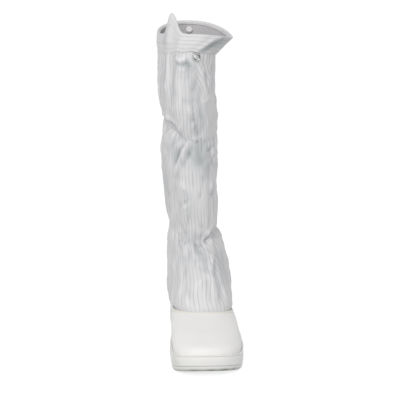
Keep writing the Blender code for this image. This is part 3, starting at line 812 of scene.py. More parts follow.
# Height over which a fold's relief turns fully to painted shade (grey) or painted highlight (white), and the
# most of either
FULL_SHADE_DEPTH = 3.4
FULL_HIGHLIGHT_HEIGHT = 3.2
MARK_MOST = 0.6
MARK_CELLS = 5


def signed(turn):
    """A turn counted from -180 to 180."""
    return (turn + 180.0) % 360.0 - 180.0


def arc_from(cloth, turn):
    """Distance along the cloth from a turn."""
    return signed(cloth.turn - turn) * cloth.girth / 360.0


def bell(distance, width):
    """One at no distance, falling off softly over a width."""
    return np.exp(-(distance / width) ** 2)


def soft_window(turn, start, end, soft):
    """Share from 0 to 1 inside a range of turns, with soft ends."""
    t = signed(turn)
    return 1.0 / (1.0 + np.exp(-(t - start) / soft)) / (1.0 + np.exp(-(end - t) / soft))


def fold_relief(cloth, fold):
    """Height that one fold adds over the whole grid."""
    nearest = np.full(cloth.turn.shape, FAR)
    run = np.zeros(cloth.turn.shape)
    legs = list(zip(fold.path, fold.path[1:]))
    mean_girth = float(np.mean(cloth.girth))
    lengths = [math.hypot((b[0] - a[0]) * mean_girth / 360.0, b[1] - a[1]) for a, b in legs]
    gone = 0.0
    for (start, end), length in zip(legs, lengths):
        arc = arc_from(cloth, start[0])
        rise = cloth.height - start[1]
        leg_arc = (end[0] - start[0]) * cloth.girth / 360.0
        leg_rise = end[1] - start[1]
        t = np.clip((arc * leg_arc + rise * leg_rise) / (leg_arc**2 + leg_rise**2), 0.0, 1.0)
        distance = np.hypot(arc - t * leg_arc, rise - t * leg_rise)
        closer = distance < nearest
        nearest = np.where(closer, distance, nearest)
        run = np.where(closer, (gone + t * length) / sum(lengths), run)
        gone += length
    taper = np.sqrt(np.clip(4.0 * run * (1.0 - run), 0.0, 1.0))
    return fold.depth * bell(nearest, fold.width) * taper


def gather_relief(cloth, tie, pitch, lift, reach, seed):
    """Small puckers that fan up and down from a drawn-in elastic."""
    dice = np.random.default_rng(seed)
    away = cloth.height - tilted_height(UPPER[LEVEL[tie]]._asdict(), np.radians(cloth.turn))
    relief = np.zeros(away.shape)
    count = int(round(TIE_GIRTH / pitch))
    for k in range(count):
        centre = 360.0 * (k + dice.uniform(-0.28, 0.28)) / count
        width = pitch * dice.uniform(0.26, 0.4)
        up = reach * dice.uniform(0.5, 1.5)
        down = reach * dice.uniform(0.5, 1.5)
        size = lift * dice.uniform(0.55, 1.3)
        drift = dice.uniform(-0.12, 0.12)
        arc = arc_from(cloth, centre) - drift * away
        relief += size * bell(arc, width) * bell(away, np.where(away > 0, up, down))
    # The elastic holds the cloth in all round, so that the puckers rise from a groove
    return relief - lift * 0.45 * bell(away, reach * 0.8)


def flute_relief(cloth, low, high, count, lift, seed):
    """Broad soft folds that hang down the cloth between two heights."""
    dice = np.random.default_rng(seed)
    relief = np.zeros(cloth.turn.shape)
    fade_in = np.clip((cloth.height - low) / FLUTE_FADE, 0.0, 1.0)
    fade_out = np.clip((high - cloth.height) / FLUTE_FADE, 0.0, 1.0)
    for k in range(count):
        centre = 360.0 * (k + dice.uniform(-0.4, 0.4)) / count
        width = dice.uniform(3.5, 8.0)
        size = lift * dice.uniform(-1.0, 1.0)
        drift = dice.uniform(-0.07, 0.07)
        arc = arc_from(cloth, centre) - drift * (cloth.height - (low + high) / 2.0)
        relief += size * bell(arc, width)
    return relief * (fade_in * fade_out)


def hem_relief(cloth, pitch, lift, seed):
    """Short puckers where the cloth is sewn to the leather."""
    dice = np.random.default_rng(seed)
    top_line = TOP_LINE_SADDLE * np.cos(np.radians(cloth.turn)) ** 2
    above = cloth.height - TOP_LINE - top_line - HEM_PUCKERS_FROM
    relief = np.zeros(above.shape)
    count = int(round(TOP_LINE_GIRTH / pitch))
    for k in range(count):
        centre = 360.0 * (k + dice.uniform(-0.3, 0.3)) / count
        width = pitch * dice.uniform(0.25, 0.42)
        tall = dice.uniform(6.0, 18.0)
        size = lift * dice.uniform(0.3, 1.3)
        drift = dice.uniform(-0.15, 0.15)
        arc = arc_from(cloth, centre) - drift * above
        relief += size * bell(arc, width) * bell(np.maximum(above, 0.0), tall)
    return relief


def crumple_relief(cloth, count, seed):
    """Short soft creases at random over the whole cloth."""
    dice = np.random.default_rng(seed)
    relief = np.zeros(cloth.turn.shape)
    for _ in range(count):
        centre = dice.uniform(0.0, 360.0)
        middle = dice.uniform(66.0, 372.0)
        lean = math.radians(dice.normal(0.0, 32.0))
        length = dice.uniform(5.0, 14.0)
        width = dice.uniform(1.8, 4.0)
        size = dice.uniform(0.4, 1.35) * dice.choice([-1.0, 1.0])
        arc = arc_from(cloth, centre)
        rise = cloth.height - middle
        lengthwise = rise * math.cos(lean) + arc * math.sin(lean)
        crosswise = arc * math.cos(lean) - rise * math.sin(lean)
        relief += size * np.exp(-(crosswise / width) ** 2 - (lengthwise / length) ** 2)
    return relief


def shaft_relief(cloth, level):
    """All folds, puckers and creases of the shaft, faded out under the leather and the band."""
    relief = gather_relief(cloth, tie="ankle_tie", pitch=6.0, lift=1.5, reach=9.0, seed=11)
    relief += gather_relief(cloth, tie="calf_tie", pitch=6.0, lift=1.4, reach=9.0, seed=23)
    relief += flute_relief(cloth, low=62.0, high=135.0, count=34, lift=0.75, seed=5)
    relief += flute_relief(cloth, low=150.0, high=262.0, count=30, lift=1.0, seed=6)
    relief += flute_relief(cloth, low=268.0, high=372.0, count=30, lift=1.1, seed=7)
    relief += hem_relief(cloth, pitch=6.5, lift=0.9, seed=17)
    relief += crumple_relief(cloth, count=520, seed=41)
    for fold in FOLDS:
        relief += fold_relief(cloth, fold)
    relief = np.clip(relief, DEEPEST_HOLLOW, HIGHEST_RIDGE)
    low_fade = np.clip((level - LEVEL["seam"] - 0.15) / 0.4, 0.0, 1.0)
    high_fade = np.clip((CUFF_FOOT - 0.05 - level) / 0.35, 0.0, 1.0)
    return relief * low_fade * high_fade


def blurred(values, cells):
    """Values of a grid that closes round, averaged over a few cells each way."""
    total = sum(np.roll(values, k, axis=1) for k in range(-cells, cells + 1)) / (2 * cells + 1)
    padded = np.pad(total, ((cells, cells), (0, 0)), mode="edge")
    return sum(padded[k:k + len(values)] for k in range(2 * cells + 1)) / (2 * cells + 1)


def fold_marks(relief, cloth, shades):
    """Shares of painted shade in the hollows and of painted highlight on the ridges, and where the stripes
    show.
    """
    # Painted shade and painted highlight from the relief against its blurred surroundings, then broad
    # painted shade
    above = relief - blurred(relief, MARK_CELLS)
    hollow = np.clip(-above / FULL_SHADE_DEPTH, 0.0, MARK_MOST)
    for shade in shades:
        hollow += fold_relief(cloth, shade)
    return {
        "hollow": hollow,
        "ridge": np.clip(above / FULL_HIGHLIGHT_HEIGHT, 0.0, MARK_MOST),
        "striped": np.ones(relief.shape),
    }


# Way of the stripes: sewn side panel at the instep, pleat under the stud

# The panel's stripes lean from its seam, a line of (height, turn), and fade straight towards its end
PANEL_SEAM = (
    (60.0, 21.0), (69.0, 19.0), (81.0, 16.0), (100.0, 11.0), (112.0, 15.0), (124.6, 21.0), (140.0, 33.0),
)
PANEL_END = 80.0
PANEL_FADE = 40.0
PANEL_TOP = 128.0
PANEL_LEAN = 0.34
# Stripes gather towards the stud between two heights: turns where the shift starts, is whole and ends
PLEAT_START = 2.0
PLEAT_WHOLE = 8.0
PLEAT_END = 80.0
PLEAT_LOW = 300.0
PLEAT_HIGH = 358.0
PLEAT_SHIFT = 26.0


def stripe_share(cloth, beyond_seam):
    """Share of the way round that the stripes take at a place, shifted where the cloth is pulled."""
    t = signed(cloth.turn)
    rise = np.clip((cloth.height - PLEAT_LOW) / (PLEAT_HIGH - PLEAT_LOW), 0.0, 1.0)
    right = np.clip((PLEAT_END - t) / (PLEAT_END - PLEAT_WHOLE), 0.0, 1.0)
    left = np.clip((t - PLEAT_START) / (PLEAT_WHOLE - PLEAT_START), 0.0, 1.0)
    shift = PLEAT_SHIFT * rise**1.3 * right * left * left * (3.0 - 2.0 * left)
    fade = np.clip((PANEL_END - t) / PANEL_FADE, 0.0, 1.0)
    lean = PANEL_LEAN * np.maximum(PANEL_TOP - cloth.height, 0.0) * 360.0 / cloth.girth
    broad_waver = 0.45 * np.sin(cloth.height / 9.0 + cloth.turn / 17.0)
    small_waver = 0.35 * np.sin(cloth.height / 5.3 - cloth.turn / 11.0 + 1.0)
    return (cloth.turn + shift + (broad_waver + small_waver) - lean * fade * beyond_seam) / 360.0


def face_shares(cloth):
    """Stripe shares at the corners of every face; the side panel starts sharply at its seam."""
    heights, turns = zip(*PANEL_SEAM)
    t = signed(cloth.turn[:-1])
    past_seam = t + 180.0 / CLOTH_SHARES - np.interp(cloth.height[:-1], heights, turns)
    beyond = ((past_seam > 0.0) & (t < PANEL_END)).astype(float)
    corners = []
    for row, column in ((0, 0), (0, 1), (1, 1), (1, 0)):
        rows = slice(row, len(cloth.turn) - 1 + row)
        corner = Cloth(
            cloth.turn[rows] + column * 360.0 / CLOTH_SHARES,
            np.roll(cloth.height, -column, axis=1)[rows],
            np.roll(cloth.girth, -column, axis=1)[rows],
        )
        corners.append(stripe_share(corner, beyond))
    return np.stack(corners, axis=-1)


# Cloth shaft

# Softness of the ends of the slack stretches, and levels over which the direction of a fold is evened out
TIE_SOFTNESS = 7.0
INSTEP_SOFTNESS = 9.0
FOLD_EVENING = 0.9


def cloth_grid(levels):
    """Grids of level, angle, turn and girth for rows of cloth at the given levels."""
    level = np.repeat(levels[:, None], CLOTH_SHARES, axis=1)
    turn = np.repeat((EVEN.shares * 360.0)[None, :], len(levels), axis=0)
    girth = np.repeat(EVEN.girths(levels)[:, None], CLOTH_SHARES, axis=1)
    return level, EVEN.angles(levels), turn, girth


def cloth_mesh(name, grid, up_share, marks, closed_loop=False, across=None):
    """Cloth piece from a grid of points, with the UV map its stripes follow.

    across gives the stripes' share at a face's corners, by the face's row and column.
    """
    rows, count = grid.shape[:2]
    faces = []
    spots = []
    for i in range(rows if closed_loop else rows - 1):
        n = (i + 1) % rows
        low = up_share[i]
        high = up_share[n] if n else 1.0
        for k in range(count):
            m = (k + 1) % count
            faces.append((i * count + k, i * count + m, n * count + m, n * count + k))
            even = (k / count, (k + 1) / count, (k + 1) / count, k / count)
            spots += zip(even if across is None else across[i][k], (low, low, high, high))
    mesh = bpy.data.meshes.new(name)
    mesh.from_pydata((grid.reshape(-1, 3) * MM).tolist(), [], faces)
    layer = mesh.uv_layers.new(name="cloth")
    layer.data.foreach_set("uv", np.array(spots, float).ravel())
    for key, values in marks.items():
        layer = mesh.attributes.new(key, "FLOAT", "POINT")
        layer.data.foreach_set("value", values.ravel().astype(float))
    mesh.update()
    piece = bpy.data.objects.new(name, mesh)
    bpy.context.scene.collection.objects.link(piece)
    return piece


def give_wall(piece, thickness, outside, inside):
    """Wall grown inwards; the reverse of the cloth has its own surface, made darker as painted shade inside
    the tube.
    """
    select_only(piece)
    piece.data.materials.append(outside)
    piece.data.materials.append(inside)
    wall = piece.modifiers.new("wall", "SOLIDIFY")
    wall.thickness = thickness * MM
    wall.offset = -1.0
    wall.use_even_offset = False
    wall.use_rim = True
    wall.material_offset = 1
    bpy.ops.object.modifier_apply(modifier=wall.name)


def mean_height(level):
    """Mean height of the upper at a level."""
    return sum(float(UPPER_AT[key].at(level)) for key in ("z_front", "z_back", "z_inner", "z_outer")) / 4.0


def shaft_levels():
    """Levels of the shaft's rows, about one row's height apart."""
    marks = [*LAP_LEVELS, *range(LEVEL["instep"], LEVEL["brim"]), SHAFT_TOP]
    levels = []
    for low, high in zip(marks, marks[1:]):
        steps = max(1, round((mean_height(high) - mean_height(low)) / CLOTH_ROW))
        levels += [low + (high - low) * k / steps for k in range(steps)]
    return np.array(levels + [SHAFT_TOP])


def make_shaft(surface, reverse):
    """Slack tube of striped cloth, drawn in by two elastics, tucked under the leather below."""
    level, angle, turn, girth = cloth_grid(shaft_levels())
    base = upper_laid(level, angle, np.interp(level, LAP_LEVELS, LAP_DEPTHS))
    at_calf = soft_window(turn, *CALF_EASE_TURNS, TIE_SOFTNESS)
    at_ankle = soft_window(turn, *ANKLE_EASE_TURNS, TIE_SOFTNESS)
    at_ties = np.where(level > LEVEL["calf"], at_calf, at_ankle)
    at_instep = soft_window(turn, *INSTEP_EASE_TURNS, INSTEP_SOFTNESS)
    for curves, share in ((EASED_TIES_AT, at_ties), (EASED_INSTEP_AT, at_instep)):
        base += (upper_point(level, angle, curves) - upper_point(level, angle)) * share[..., None]
    cloth = Cloth(turn, base[..., 2], girth)
    relief = shaft_relief(cloth, level)
    grid = base + upper_normal(level, angle, FOLD_EVENING) * relief[..., None]
    seam_height = base[:, 0, 2]
    up = (seam_height - seam_height[0]) / (seam_height[-1] - seam_height[0])
    piece = cloth_mesh("cloth_shaft", grid, up, fold_marks(relief, cloth, SHADES), across=face_shares(cloth))
    give_wall(piece, CLOTH_WALL, surface, reverse)
    finish_piece(piece, None, "shaft", smooth=80.0)


# Folded band at the mouth

# The band's stripes are counted along its section, in units of this length
BAND_UNIT = 100.0
BAND_ROWS = 18
HEM_SEAM_ROW = 6
# Turns between which the band is bunched up, and the softness of their ends
BUNCH_TURNS = (-62.0, -19.0)
BUNCH_SOFTNESS = 2.5
BAND_LOW = 340.0
BAND_HIGH = 430.0
# Pinched-up peak of cloth
PEAK_TURN = -33.0
PEAK_WIDTH = 9.6
PEAK_RISE = 25.0


def cuff_rows():
    """Levels and depths of the band's section: up its outer face, over the rim, down inside and back."""
    brim = LEVEL["brim"]
    band = LEVEL["band"]
    outer = GAP + BAND_WALL
    inside = CLOTH_WALL + GAP + 0.3
    rows = [(CUFF_FOOT, -GAP - 0.2), (CUFF_FOOT - 0.04, -GAP - 0.6), (CUFF_FOOT - 0.02, -GAP - 1.0)]
    for share in np.arange(BAND_ROWS) / (BAND_ROWS - 1.0):
        swell = 0.6 * min(1.0, share * 3.0) + 0.4 * math.sin(math.pi * share)
        rows.append((CUFF_FOOT + 0.02 + (brim - 0.3 - CUFF_FOOT) * share, -GAP - 1.0 - swell))
    for under_brim, depth in (
        (0.22, -outer + 0.6), (0.17, -outer + 0.4), (0.08, -outer + 0.5), (0.02, -outer + 1.0),
        (0.0, -GAP - 0.3), (0.02, inside - 0.6), (0.08, inside + 0.2), (0.16, inside + 0.6),
        (0.3, inside + 0.6),
    ):
        rows.append((brim - under_brim, depth))
    rows += [
        (band + 0.62, inside + 0.6), (band + 0.6, inside + 0.3), (band + 0.62, inside),
        (SHAFT_TOP + 0.03, inside), (SHAFT_TOP + 0.03, -GAP),
        (band + 0.45, -GAP), (band, -GAP), (band - 0.45, -GAP),
    ]
    return rows


def make_cuff(surface):
    """Folded band of the same cloth, its stripes running round the mouth; gives the hem's seam."""
    levels, depths = np.array(cuff_rows()).T
    level, angle, turn, girth = cloth_grid(np.minimum(levels, len(UPPER) - 1.0))
    depth = np.repeat(depths[:, None], CLOTH_SHARES, axis=1)
    bunch = soft_window(turn, *BUNCH_TURNS, BUNCH_SOFTNESS)
    lowest = np.clip((LEVEL["band"] - level) / (LEVEL["band"] - CUFF_FOOT), 0.0, 1.0)
    # Where it is bunched, the band's foot lies close on the shaft
    depth += np.where(depth < -GAP - 0.3, (-GAP - 0.4 - depth) * bunch * lowest**0.5, 0.0)
    grid = upper_laid(level, angle, depth)
    cloth = Cloth(turn, upper_point(level, angle)[..., 2], girth)
    relief = flute_relief(cloth, BAND_LOW, BAND_HIGH, count=30, lift=0.45, seed=31)
    for fold in CUFF_FOLDS + FOLDS_UNDER_MOUTH:
        relief += fold_relief(cloth, fold)
    outside = np.clip((-depth - GAP) / BAND_WALL, 0.0, 1.0)
    grid += upper_normal(level, angle) * (np.clip(relief, -1.5, 3.0) * outside)[..., None]
    grid[..., 2] += lowest * flute_relief(cloth, BAND_LOW, BAND_HIGH, count=44, lift=1.6, seed=57)
    share_up = np.clip((level - LEVEL["band"]) / (LEVEL["brim"] - LEVEL["band"]), 0.0, 1.0)
    from_peak = np.abs(signed(turn - PEAK_TURN) / PEAK_WIDTH)
    grid[..., 2] += PEAK_RISE * np.exp(-from_peak ** 2.5) * share_up ** 1.5
    section = np.linalg.norm(np.diff(grid[:, 0], axis=0), axis=1)
    up = np.concatenate([[0.0], np.cumsum(section)]) / BAND_UNIT
    # Painted shade and painted highlight only on the band's outer face
    marks = {key: values * outside for key, values in fold_marks(relief, cloth, CUFF_SHADES).items()}
    # Bunched cloth hardly shows its lines
    marks["striped"] = 1.0 - 0.75 * bunch * outside
    piece = cloth_mesh("cloth_cuff", grid, up, marks, closed_loop=True)
    face_out(piece)
    finish_piece(piece, surface, "cuff", smooth=80.0)
    return grid[HEM_SEAM_ROW], upper_normal(level[HEM_SEAM_ROW], angle[HEM_SEAM_ROW])


# Leather foot

# Rows of points down from the top edge, close together where it is folded and stitched
EDGE_ROWS = (0.5, 1.0, 1.7, 2.6, 3.4, 3.9, 4.3, 4.7, 5.2, 6.0, 7.2, 9.0)
EDGE_SEAM = 4.3
LEATHER_ROWS = 44
# Rolled edge and stitched groove: depth under the surface, distance from the top edge, half width
EDGE_SHAPE = ((-0.3, 1.9, 1.6), (0.45, EDGE_SEAM, 0.45))
# Rings over the top edge: depth under the surface and rise
CREST = ((0.15, 0.15), (0.6, 0.45), (1.2, 0.45), (LEATHER_WALL, 0.0))
INNER_LEVELS = (5.8, 5.5, 5.2, 4.6, 4.0, 3.4, 2.8, 2.2, 1.6, 1.0, 0.5, 0.0)


def make_foot(leather, edge):
    """Coated leather drawn over the last, its top edge folded and stitched down; gives the edge's seam."""
    angle = angles_round(LEATHER_POINTS)
    fine = np.linspace(LEVEL["feather"], LEVEL["seam"], 361)
    surface = upper_point(fine[:, None], angle[None, :])
    steps = np.linalg.norm(np.diff(surface[::-1], axis=0), axis=2)
    gone = np.concatenate([np.zeros((1, LEATHER_POINTS)), np.cumsum(steps, axis=0)])
    shares = np.linspace(0.0, 1.0, LEATHER_ROWS + 1)[1:] ** 0.9
    level = np.zeros((len(EDGE_ROWS) + LEATHER_ROWS, LEATHER_POINTS))
    reach = np.zeros(level.shape)
    for k in range(LEATHER_POINTS):
        reach[:, k] = [*EDGE_ROWS, *(EDGE_ROWS[-1] + (gone[-1, k] - EDGE_ROWS[-1]) * shares)]
        level[:, k] = np.interp(reach[:, k], gone[:, k], fine[::-1])
    depth = sum(size * bell(reach - middle, width) for size, middle, width in EDGE_SHAPE)
    outside = upper_laid(level, angle[None, :], depth)[::-1]
    crest = []
    for under, rise in CREST:
        ring = upper_laid(float(LEVEL["seam"]), angle, under)
        ring[:, 2] += rise
        crest.append(ring)
    inside = [upper_laid(value, angle, LEATHER_WALL) for value in INNER_LEVELS]
    piece = pull_up("leather_foot", [*outside, *crest, *inside], ends="loop")
    finish_piece(piece, leather, "foot_upper", smooth=70.0)
    piece.data.materials.append(edge)
    first = len(outside) - sum(1 for value in EDGE_ROWS if value < EDGE_SEAM)
    for face in piece.data.polygons:
        rows = {vertex // LEATHER_POINTS for vertex in face.vertices}
        if min(rows) >= first and max(rows) < len(outside) + len(crest):
            face.material_index = 1
    row = len(outside) - 1 - EDGE_ROWS.index(EDGE_SEAM)
    return outside[row], upper_normal(level[::-1][row], angle)


# Sewing: one stitch is modelled, then copied along a seam

STITCH_PITCH = 2.8
STITCH_LENGTH = 2.1
STITCH_RADIUS = 0.24
STITCH_LIFT = 0.12
STITCH_PROFILE = ((0.0, 0.3), (0.08, 0.8), (0.25, 1.0), (0.75, 1.0), (0.92, 0.8), (1.0, 0.3))
STITCH_SIDES = 8


def turned_rings(profile, points):
    """Rings of a turned shape, from the (radius, height) rows of its profile."""
    around = angles_round(points)
    return [
        np.stack([radius * np.cos(around), radius * np.sin(around), np.full(points, height)], -1)
        for radius, height in profile
    ]


def make_stitches(name, seam, surface, node):
    """Row of stitches that lies in a seam given by its points and outward directions."""
    profile = [(STITCH_RADIUS * width, (share - 0.5) * STITCH_LENGTH) for share, width in STITCH_PROFILE]
    piece = pull_up(name, turned_rings(profile, STITCH_SIDES))
    one = np.array([vert.co[:] for vert in piece.data.vertices]) / MM
    faces = [tuple(face.vertices) for face in piece.data.polygons]
    points, outward = [np.vstack([values, values[:1]]) for values in seam]
    gone = np.concatenate([[0.0], np.cumsum(np.linalg.norm(np.diff(points, axis=0), axis=1))])
    count = int(gone[-1] / STITCH_PITCH)

    def at(mark, values):
        return np.array([np.interp(mark % gone[-1], gone, values[:, k]) for k in range(3)])

    verts = []
    for mark in gone[-1] * (np.arange(count) + 0.5) / count:
        ahead = at(mark + 0.5, points) - at(mark - 0.5, points)
        ahead /= np.linalg.norm(ahead)
        side = np.cross(at(mark, outward), ahead)
        side /= np.linalg.norm(side)
        out = np.cross(ahead, side)
        verts.append(at(mark, points) + STITCH_LIFT * out + one @ np.array([side, out, ahead]))
    row = [tuple(index + len(one) * k for index in face) for k in range(count) for face in faces]
    piece.data = bpy.data.meshes.new(name)
    piece.data.from_pydata((np.vstack(verts) * MM).tolist(), [], row)
    finish_piece(piece, surface, node, replaces=False)


# Sole

# Grime and painted contact shade at the ground edge: its height and share of grey; and dark spots, flatter
# than wide: scuffs, and painted shade on the inner wall
GRIME_AND_SHADE_HEIGHT = 3.4
GRIME_AND_SHADE_SHARE = 0.75
DARK_SPOT_FLATNESS = 2.6
DarkSpot = namedtuple("DarkSpot", "x along z size share")
SCUFFS_AND_SHADE = (
    DarkSpot(46.0, 232.0, 12.6, 2.0, 0.8),
    DarkSpot(24.0, 252.0, 7.0, 6.0, 0.7),
    DarkSpot(8.0, 255.0, 8.0, 5.0, 0.6),
    DarkSpot(-12.0, 255.0, 8.2, 6.0, 0.35),
    DarkSpot(36.0, 244.0, 6.5, 4.0, 0.5),
    # Painted shade where the inner wall turns away from the light
    DarkSpot(-36.0, 240.0, 14.0, 12.0, 0.22),
)
# Levels of the cup's inner side, from the rim down to the bed
CUP_LEVELS = (LEVEL["rim"] - 0.04, 1.5, 1.0, 0.5, 0.0)
# Edge of the insole: how far inside its outline, and how far under its top
INSOLE_EDGE = ((0.0, 1.6), (0.15, 0.6), (0.5, 0.2), (1.2, 0.0))
CUTTER_START = 3.0


def sole_side(table, low, high, seam_climb, shift):
    """Rings of a sole's side between two heights, shifted at the seam between the soles."""
    return [
        sole_ring(tuck, between(low, high, climb, shift if climb == seam_climb else 0.0))
        for tuck, climb in wall_steps(table)
    ]


def grime_and_shade_marks(piece, ground_share):
    """Marks for grey at the ground edge of the sole, grime and painted contact shade, and in its scuffs and
    painted shade.
    """
    x, y, z = np.array([vert.co[:] for vert in piece.data.vertices]).T / MM
    along = HEEL_CENTRE - y
    above = z - SOLE_AT["ground"].at(along)
    worn = ground_share * np.clip(1.0 - above / GRIME_AND_SHADE_HEIGHT, 0.0, 1.0) * GRIME_AND_SHADE_SHARE
    for dark_spot in SCUFFS_AND_SHADE:
        flat = (z - dark_spot.z) * DARK_SPOT_FLATNESS
        away = np.linalg.norm([x - dark_spot.x, along - dark_spot.along, flat], axis=0)
        worn += dark_spot.share * bell(away, dark_spot.size)
    layer = piece.data.attributes.new("worn", "FLOAT", "POINT")
    layer.data.foreach_set("value", np.clip(worn, 0.0, 1.0))


def make_midsole(surface):
    """Cup with a bellied side, a groove and a rounded lip."""
    rings = sole_side(MIDSOLE_WALL, "parting", "rim", 0.0, GAP / 2.0)
    rings += [upper_laid(level, angles_round(SOLE_POINTS), -GAP) for level in CUP_LEVELS]
    floor = rings[-1].copy()
    floor[:, 2] = SOLE_AT["bed"].at(HEEL_CENTRE - floor[:, 1])
    piece = pull_up("moulded_midsole", [*rings, floor])
    grime_and_shade_marks(piece, 0.0)
    finish_piece(piece, surface, "midsole")


def chevron_cutter(along):
    """Bent bar that cuts one cross groove of the tread, its point towards the toe."""
    inner = -float(PLAN_AT["inner"].at(along)) + GROOVE_EDGE
    outer = float(PLAN_AT["outer"].at(along)) - GROOVE_EDGE
    low = float(SOLE_AT["ground"].at(along)) - CUTTER_START
    high = float(SOLE_AT["ground"].at(along)) + GROOVE_DEPTH
    deselect_all()
    bpy.ops.mesh.primitive_circle_add(vertices=6, radius=MM, fill_type="NGON", location=(0, 0, 0))
    cutter = bpy.context.object
    bpy.ops.object.mode_set(mode="EDIT")
    bm = bmesh.from_edit_mesh(cutter.data)
    bm.verts.ensure_lookup_table()
    outline = []
    for shift in (0.5, -0.5):
        edge = along + shift * GROOVE_WIDTH
        line = [(edge - GROOVE_POINT, inner), (edge, (inner + outer) / 2.0), (edge - GROOVE_POINT, outer)]
        outline += line if shift > 0 else line[::-1]
    for vert, (distance, x) in zip(bm.verts, outline):
        vert.co = Vector((x, HEEL_CENTRE - distance, low)) * MM
    bmesh.update_edit_mesh(cutter.data)
    bpy.ops.mesh.select_all(action="SELECT")
    bpy.ops.mesh.extrude_region_move(TRANSFORM_OT_translate={"value": (0, 0, (high - low) * MM)})
    face_out(cutter)
    return cutter


def make_outsole(surface):
    """Tread with its heel, arch, toe spring and chevron lugs."""
    piece = pull_up("moulded_outsole", sole_side(OUTSOLE_WALL, "ground", "parting", 1.0, -GAP / 2.0))
    for along in GROOVES:
        cutter = chevron_cutter(along)
        select_only(piece)
        cut = piece.modifiers.new("groove", "BOOLEAN")
        cut.operation = "DIFFERENCE"
        cut.solver = "EXACT"
        cut.object = cutter
        bpy.ops.object.modifier_apply(modifier=cut.name)
        bpy.data.objects.remove(cutter, do_unlink=True)
    grime_and_shade_marks(piece, 1.0)
    finish_piece(piece, surface, "outsole")


def make_insole(surface):
    """Textile-covered board on the foot bed."""
    top = GAP + INSOLE_THICKNESS
    rings = [sole_ring(INSOLE_TUCK + 0.4, between("bed", "rim", 0.0, GAP))]
    for tuck, under in INSOLE_EDGE:
        rings.append(sole_ring(INSOLE_TUCK + tuck, between("bed", "rim", 0.0, top - under)))
    finish_piece(pull_up("board_insole", rings), surface, "insole")


# Fasteners

# Profiles of the turned parts: radius and height
STUD_PROFILE = (
    (4.9, 0.0), (5.4, 0.25), (5.5, 0.7), (5.3, 1.2), (4.8, 1.55), (4.2, 1.6), (3.8, 1.35),
    (3.5, 1.15), (3.2, 1.35), (2.8, 1.8), (2.0, 2.15), (1.0, 2.35), (0.2, 2.4),
)
SNAP_PROFILE = (
    (4.3, 0.0), (4.5, 0.3), (4.5, 0.9), (4.35, 1.7), (3.9, 2.7), (3.1, 3.6), (2.1, 4.05),
    (1.5, 4.15), (1.2, 3.9), (1.0, 3.4), (0.2, 3.3),
)
TURNED_POINTS = 48
STUD_SPOT = (LEVEL["under_band"] + 0.76, 10.0)
SNAP_SPOT = (float(LEVEL["band"]), 178.0)
SNAP_SEAT = 1.9
# Lengths of the stud's groove painted dark as reflections: from and to an angle in degrees, and the groove's
# radii
CRESCENTS = ((196, 262), (-28, 48))
GROOVE_INSIDE = 3.0
GROOVE_OUTSIDE = 4.0


def seat_at(spot):
    """Place on the upper and its outward direction, at a level and a turn in degrees."""
    level, angle = np.array(spot[0]), np.array(math.radians(spot[1]))
    return Vector(upper_point(level, angle)), Vector(upper_normal(level, angle))


def make_turned(name, profile, surface, node, spot, lift, inwards=False):
    """Turned fastener seated on the upper, its axis square to the cloth."""
    piece = pull_up(name, turned_rings(profile, TURNED_POINTS))
    seat, axis = seat_at(spot)
    if inwards:
        axis = -axis
    turned = axis.to_track_quat("Z", "Y").to_matrix().to_4x4()
    piece.data.transform(Matrix.Translation((seat + axis * lift) * MM) @ turned)
    return finish_piece(piece, surface, node, smooth=60.0)


def paint_dark_reflections(stud, surface, spot):
    """Painted dark reflections in two crescents of the stud's turned groove."""
    stud.data.materials.append(surface)
    seat, axis = seat_at(spot)
    right = Vector((0, 0, 1)).cross(axis).normalized()
    above = axis.cross(right).normalized()
    for face in stud.data.polygons:
        point = Vector(face.center) / MM - seat
        across = point.dot(right)
        upwards = point.dot(above)
        around = math.degrees(math.atan2(upwards, across))
        dark = any(start < around < end or start < around + 360 < end for start, end in CRESCENTS)
        if dark and GROOVE_INSIDE < math.hypot(across, upwards) < GROOVE_OUTSIDE:
            face.material_index = 1


# Studio

FLOOR_WIDTH = 400.0
# Light of the room by the upward share of a direction: from and to a share, first and last strength
ROOM_BRIGHTNESS = (-0.04, 0.0, 0.46, 0.56)
# White walls of the room, up to some fifteen degrees above level, and only above the table's edge
WALL_BRIGHTNESS = (0.26, 0.2, 0.0, 0.48)
ABOVE_TABLE = (-0.03, -0.02, 0.0, 1.0)


def aimed(spot, target):
    """Rotation that points a lamp or the camera at a target."""
    return (Vector(target) - Vector(spot)).to_track_quat("-Z", "Y").to_euler()


def make_floor():
    """Pale shooting table lit from below, wide enough to fill the view, so shadows stay faint."""
    deselect_all()
    bpy.ops.mesh.primitive_plane_add(size=FLOOR_WIDTH, location=(0, 0, 0))
    floor = bpy.context.object
    floor.name = "studio_floor"
    floor.visible_diffuse = False
    material, _ = new_material(
        "lit_acrylic_table", Base_Color=colour("c4c4c4"), Roughness=0.9,
        Emission_Color=colour("ffffff"), Emission_Strength=0.68,
    )
    floor.data.materials.append(material)


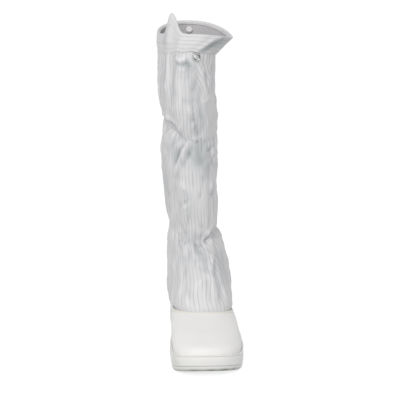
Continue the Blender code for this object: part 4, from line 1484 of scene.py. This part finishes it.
def make_room():
    """Soft white room around the table, brightest where its walls stand."""
    world = bpy.data.worlds.new("soft_white_room")
    bpy.context.scene.world = world
    world.use_nodes = True
    direction = add_node(world, "ShaderNodeTexCoord")
    split = add_node(world, "ShaderNodeSeparateXYZ", {0: (direction, "Generated")})
    room, walls, above = [
        add_node(
            world, "ShaderNodeMapRange",
            {"Value": (split, 2), "From Min": start, "From Max": end, "To Min": first, "To Max": last},
        )
        for start, end, first, last in (ROOM_BRIGHTNESS, WALL_BRIGHTNESS, ABOVE_TABLE)
    ]
    lit = add_node(world, "ShaderNodeMath", {0: (walls, 0), 1: (above, 0)}, operation="MULTIPLY")
    total = add_node(world, "ShaderNodeMath", {0: (room, 0), 1: (lit, 0)}, operation="ADD")
    background = world.node_tree.nodes["Background"]
    background.inputs["Color"].default_value = (0.98, 0.99, 1.0, 1.0)
    connect(world, background, {"Strength": (total, 0)})


def make_softbox():
    """One large soft light in front of the toe, above the camera and to its left."""
    light = bpy.data.lights.new("front_softbox", "AREA")
    light.shape = "SQUARE"
    light.size = 1.2
    light.energy = 31.0
    light.color = (1.0, 0.99, 0.98)
    lamp = bpy.data.objects.new("front_softbox", light)
    lamp.location = (-0.6, -2.3, 1.5)
    lamp.rotation_euler = aimed(lamp.location, (0.0, -0.05, 0.15))
    bpy.context.scene.collection.objects.link(lamp)


def make_camera():
    """Camera ten degrees above level, seen a little from the inner side of the toe."""
    lens = bpy.data.cameras.new("camera")
    lens.lens = 106.0
    lens.sensor_width = 36.0
    lens.clip_end = 400.0
    camera = bpy.data.objects.new("camera", lens)
    camera.location = (-0.0829, -1.5336, 0.4420)
    camera.rotation_euler = aimed(camera.location, (0.0082, 0.0, 0.1711))
    bpy.context.scene.collection.objects.link(camera)
    bpy.context.scene.camera = camera


def main():
    """Makes all pieces, then the studio around them."""
    # Reverse of the cloth: the same cloth made darker, painted shade inside the mouth
    reverse = striped_polyester(
        "polyester_reverse", 0, STRIPES_ROUND, REVERSE_LINE_WIDTH, dark="b9b6b8", light="c4c1c3",
    )
    make_shaft(striped_polyester("striped_polyester", 0, STRIPES_ROUND, LINE_WIDTH), reverse)
    hem = make_cuff(striped_polyester("striped_band", 1, BAND_UNIT / STRIPE_PITCH, LINE_WIDTH))
    edge_seam = make_foot(coated_leather(), folded_edge())
    thread = sewing_thread()
    make_stitches("edge_stitches", edge_seam, thread, "foot_upper")
    make_stitches("hem_stitches", hem, thread, "cuff")
    # Each sole's last colour greys its scuffs, grime and painted shade
    make_midsole(moulded_polyurethane("polyurethane_midsole", "e8e7e4", "efeeec", worn="a5a9a2"))
    make_outsole(moulded_polyurethane("polyurethane_outsole", "deded9", "e8e7e3", worn="7f867e"))
    make_insole(insole_cloth())
    stud = make_turned("nickel_stud", STUD_PROFILE, nickel(), "press_stud", STUD_SPOT, GAP)
    # Two crescents of the stud's groove painted dark as reflections
    paint_dark_reflections(stud, dark_reflection_paint(), STUD_SPOT)
    make_turned("acetal_snap", SNAP_PROFILE, acetal(), "inner_snap", SNAP_SPOT, SNAP_SEAT, inwards=True)
    make_floor()
    make_room()
    make_softbox()
    make_camera()
    bpy.context.scene.view_settings.view_transform = "Standard"
    bpy.context.scene.view_settings.look = "None"


main()
